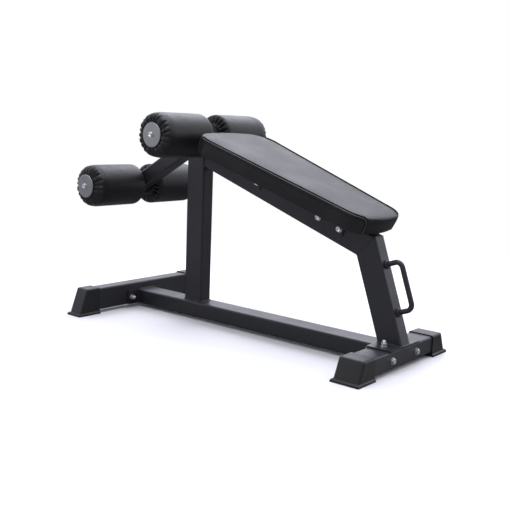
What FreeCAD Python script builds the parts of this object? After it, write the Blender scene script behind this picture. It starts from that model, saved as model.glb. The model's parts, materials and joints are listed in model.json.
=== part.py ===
import FreeCAD, Part

import math
import os

from FreeCAD import Placement, Rotation, Vector

# Decline sit up bench. Millimetres, +Z up, Z = 0 on the floor, Y = 0 on the centre plane.
# +X runs from the leg roller end (the high end) to the carry handle end (the low end).
# While the parts are built, X is measured from the front foot's centre line. Each part is
# moved by SHIFT_X as it is written, so that the origin lies under the middle of the bench.

# ---- driving dimensions -------------------------------------------------------------------

# Rectangular tube, used for every frame member but the roller arm
TUBE_SHORT = 60.0
TUBE_LONG = 90.0
ARM_TUBE = 60.0
WALL = 3.0
CORNER_R = 7.0

# Floor level members
SOLE = 14.0
FOOT_SPACING = 1261.0
FRONT_FOOT_LENGTH = 600.0
REAR_FOOT_LENGTH = 486.0
FLANGE_THICK = 6.0
FLANGE_LENGTH = 200.0
FLANGE_BOLT_Y = 82.0

# Upright, beam and leg
UPRIGHT_X = 343.0
KNEE_Z = 400.0
BEAM_ANGLE = 19.6
LEG_LEAN = 19.9
FOOT_PLATE_THICK = 6.0
FOOT_PLATE_LENGTH = 196.0
FOOT_PLATE_WIDTH = 96.0
FOOT_PLATE_BOLT_Y = 62.5

# Roller arm and axles
ARM_ANGLE = 29.8
AXLE_SPAN = 439.0
UPPER_AXLE_X = 369.0
ARM_OVERHANG = 34.0
AXLE_R = 12.5
AXLE_HALF_LENGTH = 292.0

# Leg rollers
ROLLER_R = 82.0
ROLLER_INNER_Y = 34.0
ROLLER_OUTER_Y = 290.0
SHOULDER_R = 24.0
COVER_THICK = 2.0
COVER_OPENING_R = 23.0
SLEEVE_R = 19.0
SLEEVE_BORE_R = 15.5
BUSH_LENGTH = 22.0
BUSH_FLANGE_R = 20.0
BUSH_FLANGE_THICK = 2.0
RUNNING_CLEARANCE = 0.06
END_PLAY = 1.0
DISC_R = 46.0
DISC_THICK = 4.0
THRUST_WASHER_R = 24.0
THRUST_WASHER_THICK = 2.0
END_WASHER_THICK = 2.0
END_BOLT_GRIP = 28.0
AXLE_TAP_DEPTH = 26.0

# Pad, measured along the beam from the knee (up the slope is positive) and square to it
PAD_LOW_END = -23.0
PAD_HIGH_END = 744.0
PAD_LOW_HALF_WIDTH = 136.0
PAD_HIGH_HALF_WIDTH = 212.0
PAD_END_BOW = 11.0
PAD_LOW_CORNER_R = 56.0
PAD_HIGH_CORNER_R = 84.0
PAD_BOTTOM = 51.0
PAD_TOP = 115.0
PAD_TOP_EDGE_R = 9.0
BOARD_THICK = 15.0
BOARD_SIDE_INSET = 5.0
BOARD_END_INSET = 30.0
COVER_TURN_UNDER = 36.0

# Angle brackets that hold the pad on the beam
BRACKET_STATIONS = (161.5, 557.5)
BRACKET_LENGTH = 130.0
BRACKET_THICK = 5.0
BRACKET_LOW = -12.0
BRACKET_FLANGE = 48.0
BRACKET_BEND_R = 3.0
BRACKET_BOLT_SPACING = 95.0
BRACKET_BOLT_HEIGHT = 10.0
PAD_BOLT_Y = 56.0
PAD_BOLT_SPACING = 90.0
PAD_BOLT_SPARE = 2.0

# T-nuts in the pad's board
T_NUT_BARREL_R = 5.5
T_NUT_BARREL_LENGTH = 11.0
T_NUT_FLANGE_R = 9.5
T_NUT_FLANGE_THICK = 1.5
T_NUT_POCKET_R = 11.0
T_NUT_POCKET_DEPTH = 8.0

# Carry handle on the back of the leg
HANDLE_STATION = 160.0
HANDLE_SPACING = 166.0
HANDLE_REACH = 58.0
HANDLE_R = 9.0
HANDLE_BEND_R = 22.0
BOSS_R = 15.0
BOSS_HEIGHT = 8.0

# Plastic boots on the ends of both feet
FRONT_BOOT_INNER = 254.0
FRONT_BOOT_TOP = 318.0
FRONT_BOOT_BOTTOM = 358.0
REAR_BOOT_INNER = 196.0
REAR_BOOT_TOP = 261.0
REAR_BOOT_BOTTOM = 294.0
BOOT_WALL = 4.0
BOOT_EDGE_R = 8.0
SKIRT_LIP = 5.0
SKIRT_HEIGHT = 11.0
SKIRT_CHAMFER = 4.5

# Fasteners: (shank radius, across flats, head height, washer radius)
M12 = (6.0, 18.0, 7.5, 12.0)
M10 = (5.0, 17.0, 6.4, 11.0)
M8 = (4.0, 13.0, 5.3, 8.0)
M12_NUT_HEIGHT = 10.8
WASHER_THICK = 2.5
HOLE_CLEARANCE = 0.5
THREAD_CLEARANCE = 0.05
THREAD_STUB = 9.0
HEX_BEVEL_RUN = 1.6
HEX_FACE_SHARE = 0.98

# ---- worked out from the driving dimensions -----------------------------------------------

ORIGIN = Vector(0, 0, 0)
X_AXIS = Vector(1, 0, 0)
Y_AXIS = Vector(0, 1, 0)
Z_AXIS = Vector(0, 0, 1)
SIDES = (("left", 1), ("right", -1))

HALF_SHORT = TUBE_SHORT / 2
HALF_LONG = TUBE_LONG / 2
REAR_FOOT_X = FOOT_SPACING
RAIL_Z = SOLE + HALF_SHORT
RAIL_TOP = SOLE + TUBE_SHORT
LEG_BOTTOM = RAIL_TOP + FOOT_PLATE_THICK

BEAM_SIN = math.sin(math.radians(BEAM_ANGLE))
BEAM_COS = math.cos(math.radians(BEAM_ANGLE))
LEG_SIN = math.sin(math.radians(LEG_LEAN))
LEG_COS = math.cos(math.radians(LEG_LEAN))
ARM_SIN = math.sin(math.radians(ARM_ANGLE))
ARM_COS = math.cos(math.radians(ARM_ANGLE))

# The knee is where the centre lines of the beam and the leg meet
KNEE_X = REAR_FOOT_X - (KNEE_Z - LEG_BOTTOM) * LEG_SIN / LEG_COS
KNEE = Vector(KNEE_X, 0, KNEE_Z)
UPRIGHT_REAR = UPRIGHT_X + HALF_LONG
BEAM_TOP_AT_UPRIGHT = KNEE_Z + (KNEE_X - UPRIGHT_REAR) * BEAM_SIN / BEAM_COS + HALF_LONG / BEAM_COS

# The roller arm lies on the cut top of the upright and clears the beam's top corner
ARM_RISE = (UPRIGHT_REAR - UPPER_AXLE_X) * ARM_SIN / ARM_COS
UPPER_AXLE_Z = BEAM_TOP_AT_UPRIGHT - ARM_RISE + ARM_TUBE / 2 / ARM_COS
UPPER_AXLE = Vector(UPPER_AXLE_X, 0, UPPER_AXLE_Z)
LOWER_AXLE = UPPER_AXLE - Vector(ARM_COS, 0, ARM_SIN) * AXLE_SPAN

# Directions of a member's own length: down the beam, down the leg, up the arm
BEAM_FRAME = Placement(KNEE, Rotation(Y_AXIS, BEAM_ANGLE))
LEG_FRAME = Placement(KNEE, Rotation(Y_AXIS, 90 - LEG_LEAN))
ARM_FRAME = Placement(UPPER_AXLE, Rotation(Y_AXIS, -ARM_ANGLE))

HANDLE_LOW_STATION = HANDLE_STATION + HANDLE_SPACING / 2
HANDLE_ARC_CENTRE = LEG_FRAME.multVec(
    Vector(HANDLE_LOW_STATION - HANDLE_BEND_R, 0, HALF_LONG + HANDLE_REACH - HANDLE_BEND_R)
)
REAR_END_X = HANDLE_ARC_CENTRE.x + HANDLE_BEND_R + HANDLE_R
FRONT_END_X = LOWER_AXLE.x - ROLLER_R
SHIFT_X = -(FRONT_END_X + REAR_END_X) / 2

# An edge that is picked by its place may be this far off, and one that is picked by its
# direction has at least this cosine
NEAR = 0.5
PARALLEL = 0.99


# ---- shapes that repeat -------------------------------------------------------------------


def bar(length, width, depth, radius):
    """Solid bar along +X from the origin, centred on Y and Z, its long edges rounded."""
    block = Part.makeBox(length, width, depth, Vector(0, -width / 2, -depth / 2))
    long_edges = [edge for edge in block.Edges if abs(edge.tangentAt(0).x) > PARALLEL]
    return block.makeFillet(radius, long_edges)


def tube(length, width, depth):
    """Rectangular tube along +X from the origin, centred on Y and Z."""
    outside = bar(length, width, depth, CORNER_R)
    inside = bar(length, width - 2 * WALL, depth - 2 * WALL, CORNER_R - WALL)
    return outside.cut(inside)


def placed(shape, placement):
    """Copy of a shape, moved from its own frame by a placement."""
    copy = shape.copy()
    copy.Placement = placement.multiply(copy.Placement)
    return copy


def moved(shape, x=0, y=0, z=0):
    """Copy of a shape, moved by x, y and z."""
    return placed(shape, Placement(Vector(x, y, z), Rotation()))


def trimmed(shape, point, normal):
    """Shape without the side of a plane that the normal points to."""
    size = 3000
    block = Part.makeBox(size, size, size, Vector(-size / 2, -size / 2, 0))
    return shape.cut(placed(block, Placement(point, Rotation(Z_AXIS, normal))))


def rod(radius, start, end):
    """Round rod between two points."""
    return Part.makeCylinder(radius, start.distanceToPoint(end), start, end - start)


def hexagon(across_flats, height):
    """Hexagonal block on Z = 0 with its outer corners chamfered by a cone."""
    corner_r = across_flats / math.sqrt(3)
    points = [Vector(corner_r, 0, 0)]
    for turn in range(1, 7):
        points.append(Rotation(Z_AXIS, 60 * turn).multVec(points[0]))
    block = Part.Face(Part.makePolygon(points)).extrude(Z_AXIS * height)
    face_r = across_flats / 2 * HEX_FACE_SHARE
    bevel = Part.makeCone(corner_r + height * HEX_BEVEL_RUN, face_r, height)
    return block.common(bevel)


def washer(outer_r, inner_r, thickness):
    """Flat washer standing on Z = 0."""
    ring = Part.makeCylinder(outer_r, thickness)
    return ring.cut(Part.makeCylinder(inner_r, thickness))


def bolt(size, grip):
    """Hex bolt along Z: its head stands above Z = 0 and its shank runs down by grip."""
    shank_r, across_flats, head_height, _ = size
    shank = Part.makeCylinder(shank_r, grip, Vector(0, 0, -grip))
    return hexagon(across_flats, head_height).fuse(shank).removeSplitter()


def nut(size, height):
    """Plain hex nut on Z = 0, chamfered on top."""
    shank_r, across_flats, _, _ = size
    hole = Part.makeCylinder(shank_r + THREAD_CLEARANCE, height)
    return hexagon(across_flats, height).cut(hole)


def through_joint(head_point, direction, thickness):
    """M12 bolt, two washers and a nut through a joint of the given thickness.

    head_point is on the surface under the head's washer, and direction points out of it.
    """
    grip = thickness + 2 * WASHER_THICK + M12_NUT_HEIGHT + THREAD_STUB
    frame = Placement(head_point, Rotation(Z_AXIS, direction))
    ring = washer(M12[3], M12[0] + HOLE_CLEARANCE, WASHER_THICK)
    nut_shape = nut(M12, M12_NUT_HEIGHT).mirror(ORIGIN, Z_AXIS)
    pieces = {
        "bolt": moved(bolt(M12, grip), z=WASHER_THICK),
        "head_washer": ring,
        "nut_washer": moved(ring, z=-thickness - WASHER_THICK),
        "nut": moved(nut_shape, z=-thickness - WASHER_THICK),
    }
    return {name: placed(shape, frame) for name, shape in pieces.items()}


def drilled(shape, points, direction, size, depth):
    """Shape with a clearance hole through each point, centred on the point."""
    radius = size[0] + HOLE_CLEARANCE
    for point in points:
        shape = shape.cut(rod(radius, point - direction * depth, point + direction * depth))
    return shape


# ---- floor frame --------------------------------------------------------------------------


def foot_bolt_points(x):
    """Where the rail's flange bolts cross a foot, on both sides of the centre plane."""
    return [Vector(x, side * FLANGE_BOLT_Y, RAIL_Z) for _, side in SIDES]


def foot_plate_points():
    """Where the leg's foot plate bolts cross the rear foot."""
    return [Vector(REAR_FOOT_X, side * FOOT_PLATE_BOLT_Y, RAIL_Z) for _, side in SIDES]


def cross_foot(length, width, depth, x, z):
    """Tube that lies across the bench, centred on x and z."""
    frame = Placement(Vector(x, -length / 2, z), Rotation(Z_AXIS, 90))
    return placed(tube(length, width, depth), frame)


def front_foot_tube():
    """Front cross foot, standing on its narrow side."""
    foot = cross_foot(FRONT_FOOT_LENGTH, TUBE_SHORT, TUBE_LONG, 0, SOLE + HALF_LONG)
    return drilled(foot, foot_bolt_points(0), X_AXIS, M12, TUBE_LONG)


def rear_foot_tube():
    """Rear cross foot, lying on its wide side."""
    foot = cross_foot(REAR_FOOT_LENGTH, TUBE_LONG, TUBE_SHORT, REAR_FOOT_X, RAIL_Z)
    foot = drilled(foot, foot_bolt_points(REAR_FOOT_X), X_AXIS, M12, TUBE_LONG)
    return drilled(foot, foot_plate_points(), Z_AXIS, M12, TUBE_LONG)


def boot(foot_width, foot_depth, foot_length, inner, top_end, bottom_end):
    """Plastic boot for the +Y end of a foot centred on X = 0, with a sloping end."""
    half_width = foot_width / 2 + BOOT_WALL
    height = SOLE + foot_depth + BOOT_WALL
    outline = [
        Vector(-half_width, inner, 0),
        Vector(-half_width, bottom_end, 0),
        Vector(-half_width, top_end, height),
        Vector(-half_width, inner, height),
        Vector(-half_width, inner, 0),
    ]
    body = Part.Face(Part.makePolygon(outline)).extrude(X_AXIS * 2 * half_width)
    outer_edges = [edge for edge in body.Edges if edge.BoundBox.YMax > inner + NEAR]
    raised_edges = [edge for edge in outer_edges if edge.BoundBox.ZMax > NEAR]
    body = body.makeFillet(BOOT_EDGE_R, raised_edges)
    skirt_size = (2 * (half_width + SKIRT_LIP), bottom_end + SKIRT_LIP - inner, SKIRT_HEIGHT)
    skirt = Part.makeBox(*skirt_size, Vector(-half_width - SKIRT_LIP, inner, 0))
    top_edges = [
        edge
        for edge in skirt.Edges
        if edge.BoundBox.ZMin > NEAR and edge.BoundBox.YMax > inner + NEAR
    ]
    skirt = skirt.makeChamfer(SKIRT_CHAMFER, top_edges)
    pocket = placed(
        bar(foot_length / 2, foot_width, foot_depth, CORNER_R),
        Placement(Vector(0, 0, SOLE + foot_depth / 2), Rotation(Z_AXIS, 90)),
    )
    return body.fuse(skirt).removeSplitter().cut(pocket)


def front_boot():
    """Boot of the front foot, on the +Y side."""
    return boot(
        TUBE_SHORT, TUBE_LONG, FRONT_FOOT_LENGTH, FRONT_BOOT_INNER, FRONT_BOOT_TOP, FRONT_BOOT_BOTTOM
    )


def rear_boot():
    """Boot of the rear foot, on the +Y side."""
    shape = boot(
        TUBE_LONG, TUBE_SHORT, REAR_FOOT_LENGTH, REAR_BOOT_INNER, REAR_BOOT_TOP, REAR_BOOT_BOTTOM
    )
    return moved(shape, x=REAR_FOOT_X)


def rail_start():
    """X of the rail's front end, behind its front flange."""
    return HALF_SHORT + FLANGE_THICK


def rail_end():
    """X of the rail's rear end, in front of its rear flange."""
    return REAR_FOOT_X - HALF_LONG - FLANGE_THICK


def base_rail():
    """Rail that lies on its wide side between the two feet."""
    length = rail_end() - rail_start()
    return moved(tube(length, TUBE_LONG, TUBE_SHORT), x=rail_start(), z=RAIL_Z)


def rail_flange(x):
    """Flange plate welded across an end of the rail, its front face at x."""
    corner = Vector(x, -FLANGE_LENGTH / 2, SOLE)
    plate = Part.makeBox(FLANGE_THICK, FLANGE_LENGTH, TUBE_SHORT, corner)
    corners = [edge for edge in plate.Edges if abs(edge.tangentAt(0).x) > PARALLEL]
    plate = plate.makeFillet(CORNER_R, corners)
    return drilled(plate, foot_bolt_points(x), X_AXIS, M12, TUBE_LONG)


# ---- upright, beam, leg and arm -----------------------------------------------------------


def front_upright():
    """Upright on the rail, cut on top to the slope of the roller arm."""
    upright = placed(
        tube(UPPER_AXLE_Z, TUBE_SHORT, TUBE_LONG),
        Placement(Vector(UPRIGHT_X, 0, RAIL_TOP), Rotation(Y_AXIS, -90)),
    )
    return trimmed(upright, ARM_FRAME.multVec(Vector(0, 0, -ARM_TUBE / 2)), arm_normal())


def arm_normal():
    """Direction square to the roller arm, upwards."""
    return Vector(-ARM_SIN, 0, ARM_COS)


def mitre_normal():
    """Normal of the mitre plane between beam and leg, pointing to the leg's side."""
    down_beam = Vector(BEAM_COS, 0, -BEAM_SIN)
    down_leg = Vector(LEG_SIN, 0, -LEG_COS)
    return (down_beam + down_leg).normalize()


def bracket_bolt_points():
    """Where the pad bracket bolts cross the beam's centre plane."""
    points = []
    for station in BRACKET_STATIONS:
        for shift in (-BRACKET_BOLT_SPACING / 2, BRACKET_BOLT_SPACING / 2):
            points.append(BEAM_FRAME.multVec(Vector(-station - shift, 0, BRACKET_BOLT_HEIGHT)))
    return points


def seat_beam():
    """Sloping beam from the upright down to the knee, mitred there to the leg."""
    reach = (KNEE_X - UPRIGHT_REAR) / BEAM_COS + TUBE_LONG
    beam = moved(tube(reach + TUBE_LONG, TUBE_SHORT, TUBE_LONG), x=-reach)
    beam = placed(beam, BEAM_FRAME)
    beam = trimmed(beam, Vector(UPRIGHT_REAR, 0, 0), -X_AXIS)
    beam = trimmed(beam, KNEE, mitre_normal())
    return drilled(beam, bracket_bolt_points(), Y_AXIS, M12, TUBE_SHORT)


def rear_leg():
    """Leaning leg from the knee down to its foot plate."""
    leg = moved(tube(KNEE_Z + TUBE_LONG, TUBE_SHORT, TUBE_LONG), x=-TUBE_LONG)
    leg = placed(leg, LEG_FRAME)
    leg = trimmed(leg, KNEE, -mitre_normal())
    return trimmed(leg, Vector(0, 0, LEG_BOTTOM), -Z_AXIS)


def leg_foot_plate():
    """Plate welded under the leg and bolted down on the rear foot."""
    corner = Vector(REAR_FOOT_X - FOOT_PLATE_WIDTH / 2, -FOOT_PLATE_LENGTH / 2, RAIL_TOP)
    plate = Part.makeBox(FOOT_PLATE_WIDTH, FOOT_PLATE_LENGTH, FOOT_PLATE_THICK, corner)
    corners = [edge for edge in plate.Edges if abs(edge.tangentAt(0).z) > PARALLEL]
    plate = plate.makeFillet(CORNER_R, corners)
    return drilled(plate, foot_plate_points(), Z_AXIS, M12, TUBE_LONG)


def roller_arm():
    """Square tube on top of the upright that carries both axles."""
    length = AXLE_SPAN + 2 * ARM_OVERHANG
    arm = moved(tube(length, ARM_TUBE, ARM_TUBE), x=-AXLE_SPAN - ARM_OVERHANG)
    for station in (0, -AXLE_SPAN):
        start = Vector(station, -ARM_TUBE, 0)
        arm = arm.cut(rod(AXLE_R, start, start + Y_AXIS * 2 * ARM_TUBE))
    return placed(arm, ARM_FRAME)


def arm_end_plug():
    """Plastic plug: a thin plate outside the tube and a hollow skirt inside it."""
    plate_thick = 3.0
    skirt_depth = 14.0
    skirt_wall = 2.0
    skirt_play = 0.1
    skirt_width = ARM_TUBE - 2 * WALL - 2 * skirt_play
    hollow_width = skirt_width - 2 * skirt_wall
    plate = bar(plate_thick, ARM_TUBE, ARM_TUBE, CORNER_R)
    plug = bar(skirt_depth, skirt_width, skirt_width, CORNER_R - WALL)
    hollow = bar(skirt_depth, hollow_width, hollow_width, CORNER_R - WALL - skirt_wall)
    return plate.fuse(moved(plug.cut(hollow), x=-skirt_depth)).removeSplitter()


def arm_end_plugs():
    """The plugs in the upper and the lower end of the roller arm."""
    upper = moved(arm_end_plug(), x=ARM_OVERHANG)
    turned = placed(arm_end_plug(), Placement(ORIGIN, Rotation(Z_AXIS, 180)))
    lower = moved(turned, x=-AXLE_SPAN - ARM_OVERHANG)
    return Part.Compound([placed(upper, ARM_FRAME), placed(lower, ARM_FRAME)])


# ---- carry handle -------------------------------------------------------------------------


def carry_handle():
    """Bent round bar whose two ends are welded on the back of the leg."""
    low = HANDLE_LOW_STATION
    high = HANDLE_LOW_STATION - HANDLE_SPACING
    base = HALF_LONG
    out = HALF_LONG + HANDLE_REACH
    bend = HANDLE_BEND_R
    diagonal = bend * (1 - math.sqrt(0.5))
    points = [
        Vector(high, 0, base),
        Vector(high, 0, out - bend),
        Vector(high + diagonal, 0, out - diagonal),
        Vector(high + bend, 0, out),
        Vector(low - bend, 0, out),
        Vector(low - diagonal, 0, out - diagonal),
        Vector(low, 0, out - bend),
        Vector(low, 0, base),
    ]
    path = Part.Wire(
        [
            Part.makeLine(points[0], points[1]),
            Part.Arc(points[1], points[2], points[3]).toShape(),
            Part.makeLine(points[3], points[4]),
            Part.Arc(points[4], points[5], points[6]).toShape(),
            Part.makeLine(points[6], points[7]),
        ]
    )
    section = Part.Wire([Part.makeCircle(HANDLE_R, points[0], Z_AXIS)])
    return placed(path.makePipeShell([section], True, True), LEG_FRAME)


def handle_bosses():
    """Round collars at the two roots of the handle."""
    collar = Part.makeCylinder(BOSS_R, BOSS_HEIGHT)
    rim = [edge for edge in collar.Edges if edge.BoundBox.ZMin > NEAR]
    collar = collar.makeFillet(BOSS_HEIGHT / 2, rim).cut(Part.makeCylinder(HANDLE_R, BOSS_HEIGHT))
    stations = (HANDLE_LOW_STATION - HANDLE_SPACING, HANDLE_LOW_STATION)
    collars = [moved(collar, x=station, z=HALF_LONG) for station in stations]
    return Part.Compound([placed(shape, LEG_FRAME) for shape in collars])


# ---- leg rollers --------------------------------------------------------------------------


def drum(radius, start, end, shoulder):
    """Round drum about the Y axis between two Y values, its ends rounded."""
    shape = rod(radius, Y_AXIS * start, Y_AXIS * end)
    if shoulder > 0:
        rims = [edge for edge in shape.Edges if edge.Closed and len(edge.Vertexes) == 1]
        rims = [edge for edge in rims if isinstance(edge.Curve, Part.Circle)]
        shape = shape.makeFillet(shoulder, rims)
    return shape


def roller_foam():
    """Foam tube glued on the sleeve."""
    start = ROLLER_INNER_Y + COVER_THICK
    end = ROLLER_OUTER_Y - COVER_THICK
    foam = drum(ROLLER_R - COVER_THICK, start, end, SHOULDER_R - COVER_THICK)
    return foam.cut(drum(SLEEVE_R, start, end, 0))


def roller_cover():
    """Sewn cover over the foam, open around the sleeve at both ends."""
    outside = drum(ROLLER_R, ROLLER_INNER_Y, ROLLER_OUTER_Y, SHOULDER_R)
    inside = drum(
        ROLLER_R - COVER_THICK,
        ROLLER_INNER_Y + COVER_THICK,
        ROLLER_OUTER_Y - COVER_THICK,
        SHOULDER_R - COVER_THICK,
    )
    opening = drum(COVER_OPENING_R, ROLLER_INNER_Y, ROLLER_OUTER_Y, 0)
    return outside.cut(inside).cut(opening)


def sleeve_start():
    """Y of the sleeve's inner end."""
    return ROLLER_INNER_Y - END_PLAY + BUSH_FLANGE_THICK


def sleeve_end():
    """Y of the sleeve's outer end."""
    return AXLE_HALF_LENGTH - END_PLAY - BUSH_FLANGE_THICK


def roller_sleeve():
    """Steel tube in the roller's core."""
    outside = drum(SLEEVE_R, sleeve_start(), sleeve_end(), 0)
    return outside.cut(drum(SLEEVE_BORE_R, sleeve_start(), sleeve_end(), 0))


def roller_bushes():
    """Flanged nylon bushes in both ends of the sleeve, running on the axle."""
    bushes = []
    for face, inward in ((sleeve_start(), 1), (sleeve_end(), -1)):
        barrel = rod(SLEEVE_BORE_R, Y_AXIS * face, Y_AXIS * (face + inward * BUSH_LENGTH))
        flange_end = face - inward * BUSH_FLANGE_THICK
        flange = rod(BUSH_FLANGE_R, Y_AXIS * face, Y_AXIS * flange_end)
        bore_r = AXLE_R + RUNNING_CLEARANCE
        bore = rod(bore_r, Y_AXIS * flange_end, Y_AXIS * (face + inward * BUSH_LENGTH))
        bushes.append(barrel.fuse(flange).removeSplitter().cut(bore))
    return Part.Compound(bushes)


def axle():
    """Round axle with a threaded hole in each end."""
    shaft = drum(AXLE_R, -AXLE_HALF_LENGTH, AXLE_HALF_LENGTH, 0)
    for _, side in SIDES:
        mouth = Y_AXIS * side * AXLE_HALF_LENGTH
        tap_end = Y_AXIS * side * (AXLE_HALF_LENGTH - AXLE_TAP_DEPTH)
        shaft = shaft.cut(rod(M10[0] + THREAD_CLEARANCE, mouth, tap_end))
    return shaft


def end_disc():
    """Aluminium disc on the axle's +Y end, its outer rim rounded."""
    face = AXLE_HALF_LENGTH
    disc = rod(DISC_R, Y_AXIS * face, Y_AXIS * (face + DISC_THICK))
    rim = [edge for edge in disc.Edges if edge.BoundBox.YMin > face + NEAR]
    disc = disc.makeFillet(DISC_THICK / 2, rim)
    hole_r = M10[0] + HOLE_CLEARANCE
    return disc.cut(rod(hole_r, Y_AXIS * face, Y_AXIS * (face + DISC_THICK)))


def end_washer():
    """Washer under the bolt in the axle's +Y end."""
    ring = washer(M10[3], M10[0] + HOLE_CLEARANCE, END_WASHER_THICK)
    seat = Y_AXIS * (AXLE_HALF_LENGTH + DISC_THICK)
    return placed(ring, Placement(seat, Rotation(Z_AXIS, Y_AXIS)))


def end_bolt():
    """Bolt in the axle's +Y end."""
    seat = Y_AXIS * (AXLE_HALF_LENGTH + DISC_THICK + END_WASHER_THICK)
    return placed(bolt(M10, END_BOLT_GRIP), Placement(seat, Rotation(Z_AXIS, Y_AXIS)))


def thrust_washer():
    """Nylon washer between the arm and the inner bush, on the +Y side."""
    start = ARM_TUBE / 2
    end = start + THRUST_WASHER_THICK
    return drum(THRUST_WASHER_R, start, end, 0).cut(drum(AXLE_R, start, end, 0))


def on_all_axle_ends(shape):
    """Four copies of a +Y piece: both sides of both axles."""
    copies = []
    for centre in (UPPER_AXLE, LOWER_AXLE):
        for _, side in SIDES:
            copies.append(on_axle_end(shape, centre, side))
    return Part.Compound(copies)


def on_axle_end(shape, centre, side):
    """Copy of a +Y piece on one side of an axle."""
    turned = shape if side > 0 else shape.mirror(ORIGIN, Y_AXIS)
    return moved(turned, x=centre.x, z=centre.z)


# ---- pad ----------------------------------------------------------------------------------


def pad_half_width(station):
    """Half width of the pad at a station along the beam: it tapers towards the low end."""
    share = (station - PAD_LOW_END) / (PAD_HIGH_END - PAD_LOW_END)
    return PAD_LOW_HALF_WIDTH + share * (PAD_HIGH_HALF_WIDTH - PAD_LOW_HALF_WIDTH)


def pad_block(inset, bottom, top, end_inset=0.0):
    """Pad outline with rounded corners and bowed ends, drawn in by inset, between heights.

    end_inset is how much further the two ends are drawn in.
    """
    low = PAD_LOW_END + PAD_END_BOW + inset + end_inset
    high = PAD_HIGH_END - PAD_END_BOW - inset - end_inset
    low_y = pad_half_width(low) - inset
    high_y = pad_half_width(high) - inset
    bow = PAD_END_BOW
    corners = {
        "high_right": Vector(-high, -high_y, bottom),
        "high_left": Vector(-high, high_y, bottom),
        "low_right": Vector(-low, -low_y, bottom),
        "low_left": Vector(-low, low_y, bottom),
    }
    high_middle = Vector(-high - bow, 0, bottom)
    low_middle = Vector(-low + bow, 0, bottom)
    outline = Part.Wire(
        [
            Part.Arc(corners["high_right"], high_middle, corners["high_left"]).toShape(),
            Part.makeLine(corners["high_left"], corners["low_left"]),
            Part.Arc(corners["low_left"], low_middle, corners["low_right"]).toShape(),
            Part.makeLine(corners["low_right"], corners["high_right"]),
        ]
    )
    block = Part.Face(outline).extrude(Z_AXIS * (top - bottom))
    for x, radius in ((-high, PAD_HIGH_CORNER_R), (-low, PAD_LOW_CORNER_R)):
        upright_edges = [
            edge
            for edge in block.Edges
            if abs(edge.tangentAt(edge.FirstParameter).z) > PARALLEL
            and abs(edge.CenterOfMass.x - x) < NEAR
        ]
        block = block.makeFillet(radius - inset, upright_edges)
    return block


def rounded_rim(block, height, radius):
    """Block with the edges of its face at the given height rounded."""
    rim = [
        edge
        for edge in block.Edges
        if abs(edge.BoundBox.ZMin - height) < NEAR and abs(edge.BoundBox.ZMax - height) < NEAR
    ]
    return block.makeFillet(radius, rim)


def board_bottom():
    """Height of the board's underside above the beam's centre line."""
    return PAD_BOTTOM + COVER_THICK


def board_top():
    """Height of the board's top above the beam's centre line."""
    return board_bottom() + BOARD_THICK


def pad_bolt_points():
    """Where the pad bolts cross the brackets' flanges, in the beam's own frame."""
    points = []
    for station in BRACKET_STATIONS:
        for shift in (-PAD_BOLT_SPACING / 2, PAD_BOLT_SPACING / 2):
            for _, side in SIDES:
                points.append(Vector(-station - shift, side * PAD_BOLT_Y, PAD_BOTTOM))
    return points


def pad_board():
    """Plywood board under the foam, which wraps its edges and most of all its two ends."""
    board = pad_block(BOARD_SIDE_INSET, board_bottom(), board_top(), BOARD_END_INSET)
    for point in pad_bolt_points():
        board = board.cut(rod(T_NUT_BARREL_R, point, Vector(point.x, point.y, board_top())))
    return placed(board, BEAM_FRAME)


def pad_foam():
    """Foam over the board and its two ends, with a pocket over each T-nut."""
    foam = pad_block(COVER_THICK, board_bottom(), PAD_TOP - COVER_THICK)
    foam = rounded_rim(foam, PAD_TOP - COVER_THICK, PAD_TOP_EDGE_R - COVER_THICK)
    recess = pad_block(BOARD_SIDE_INSET, board_bottom(), board_top(), BOARD_END_INSET)
    foam = foam.cut(recess)
    for point in pad_bolt_points():
        seat = Vector(point.x, point.y, board_top())
        foam = foam.cut(rod(T_NUT_POCKET_R, seat, seat + Z_AXIS * T_NUT_POCKET_DEPTH))
    return placed(foam, BEAM_FRAME)


def pad_cover():
    """Cover over foam and board, turned under the board all round."""
    outside = rounded_rim(pad_block(0, PAD_BOTTOM, PAD_TOP), PAD_TOP, PAD_TOP_EDGE_R)
    inside = pad_block(COVER_THICK, board_bottom(), PAD_TOP - COVER_THICK)
    inside = rounded_rim(inside, PAD_TOP - COVER_THICK, PAD_TOP_EDGE_R - COVER_THICK)
    opening = pad_block(COVER_TURN_UNDER, PAD_BOTTOM, board_bottom())
    return placed(outside.cut(inside).cut(opening), BEAM_FRAME)


def pad_bracket(station, side):
    """Angle bracket: one leg on the beam's side, the other under the pad."""
    start = -station - BRACKET_LENGTH / 2
    height = PAD_BOTTOM - BRACKET_LOW
    upright = Part.makeBox(
        BRACKET_LENGTH, BRACKET_THICK, height, Vector(start, HALF_SHORT, BRACKET_LOW)
    )
    shelf = Part.makeBox(
        BRACKET_LENGTH,
        BRACKET_FLANGE,
        BRACKET_THICK,
        Vector(start, HALF_SHORT, PAD_BOTTOM - BRACKET_THICK),
    )
    bracket = upright.fuse(shelf).removeSplitter()
    inner_bend = [
        edge
        for edge in bracket.Edges
        if abs(edge.CenterOfMass.y - HALF_SHORT - BRACKET_THICK) < NEAR
        and abs(edge.CenterOfMass.z - PAD_BOTTOM + BRACKET_THICK) < NEAR
        and edge.Length > BRACKET_LENGTH - NEAR
    ]
    bracket = bracket.makeFillet(BRACKET_BEND_R, inner_bend)
    if side < 0:
        bracket = bracket.mirror(ORIGIN, Y_AXIS)
    bracket = drilled(bracket, pad_bolt_points(), Z_AXIS, M8, BRACKET_THICK * 2)
    bracket = placed(bracket, BEAM_FRAME)
    return drilled(bracket, bracket_bolt_points(), Y_AXIS, M12, TUBE_LONG)


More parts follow.
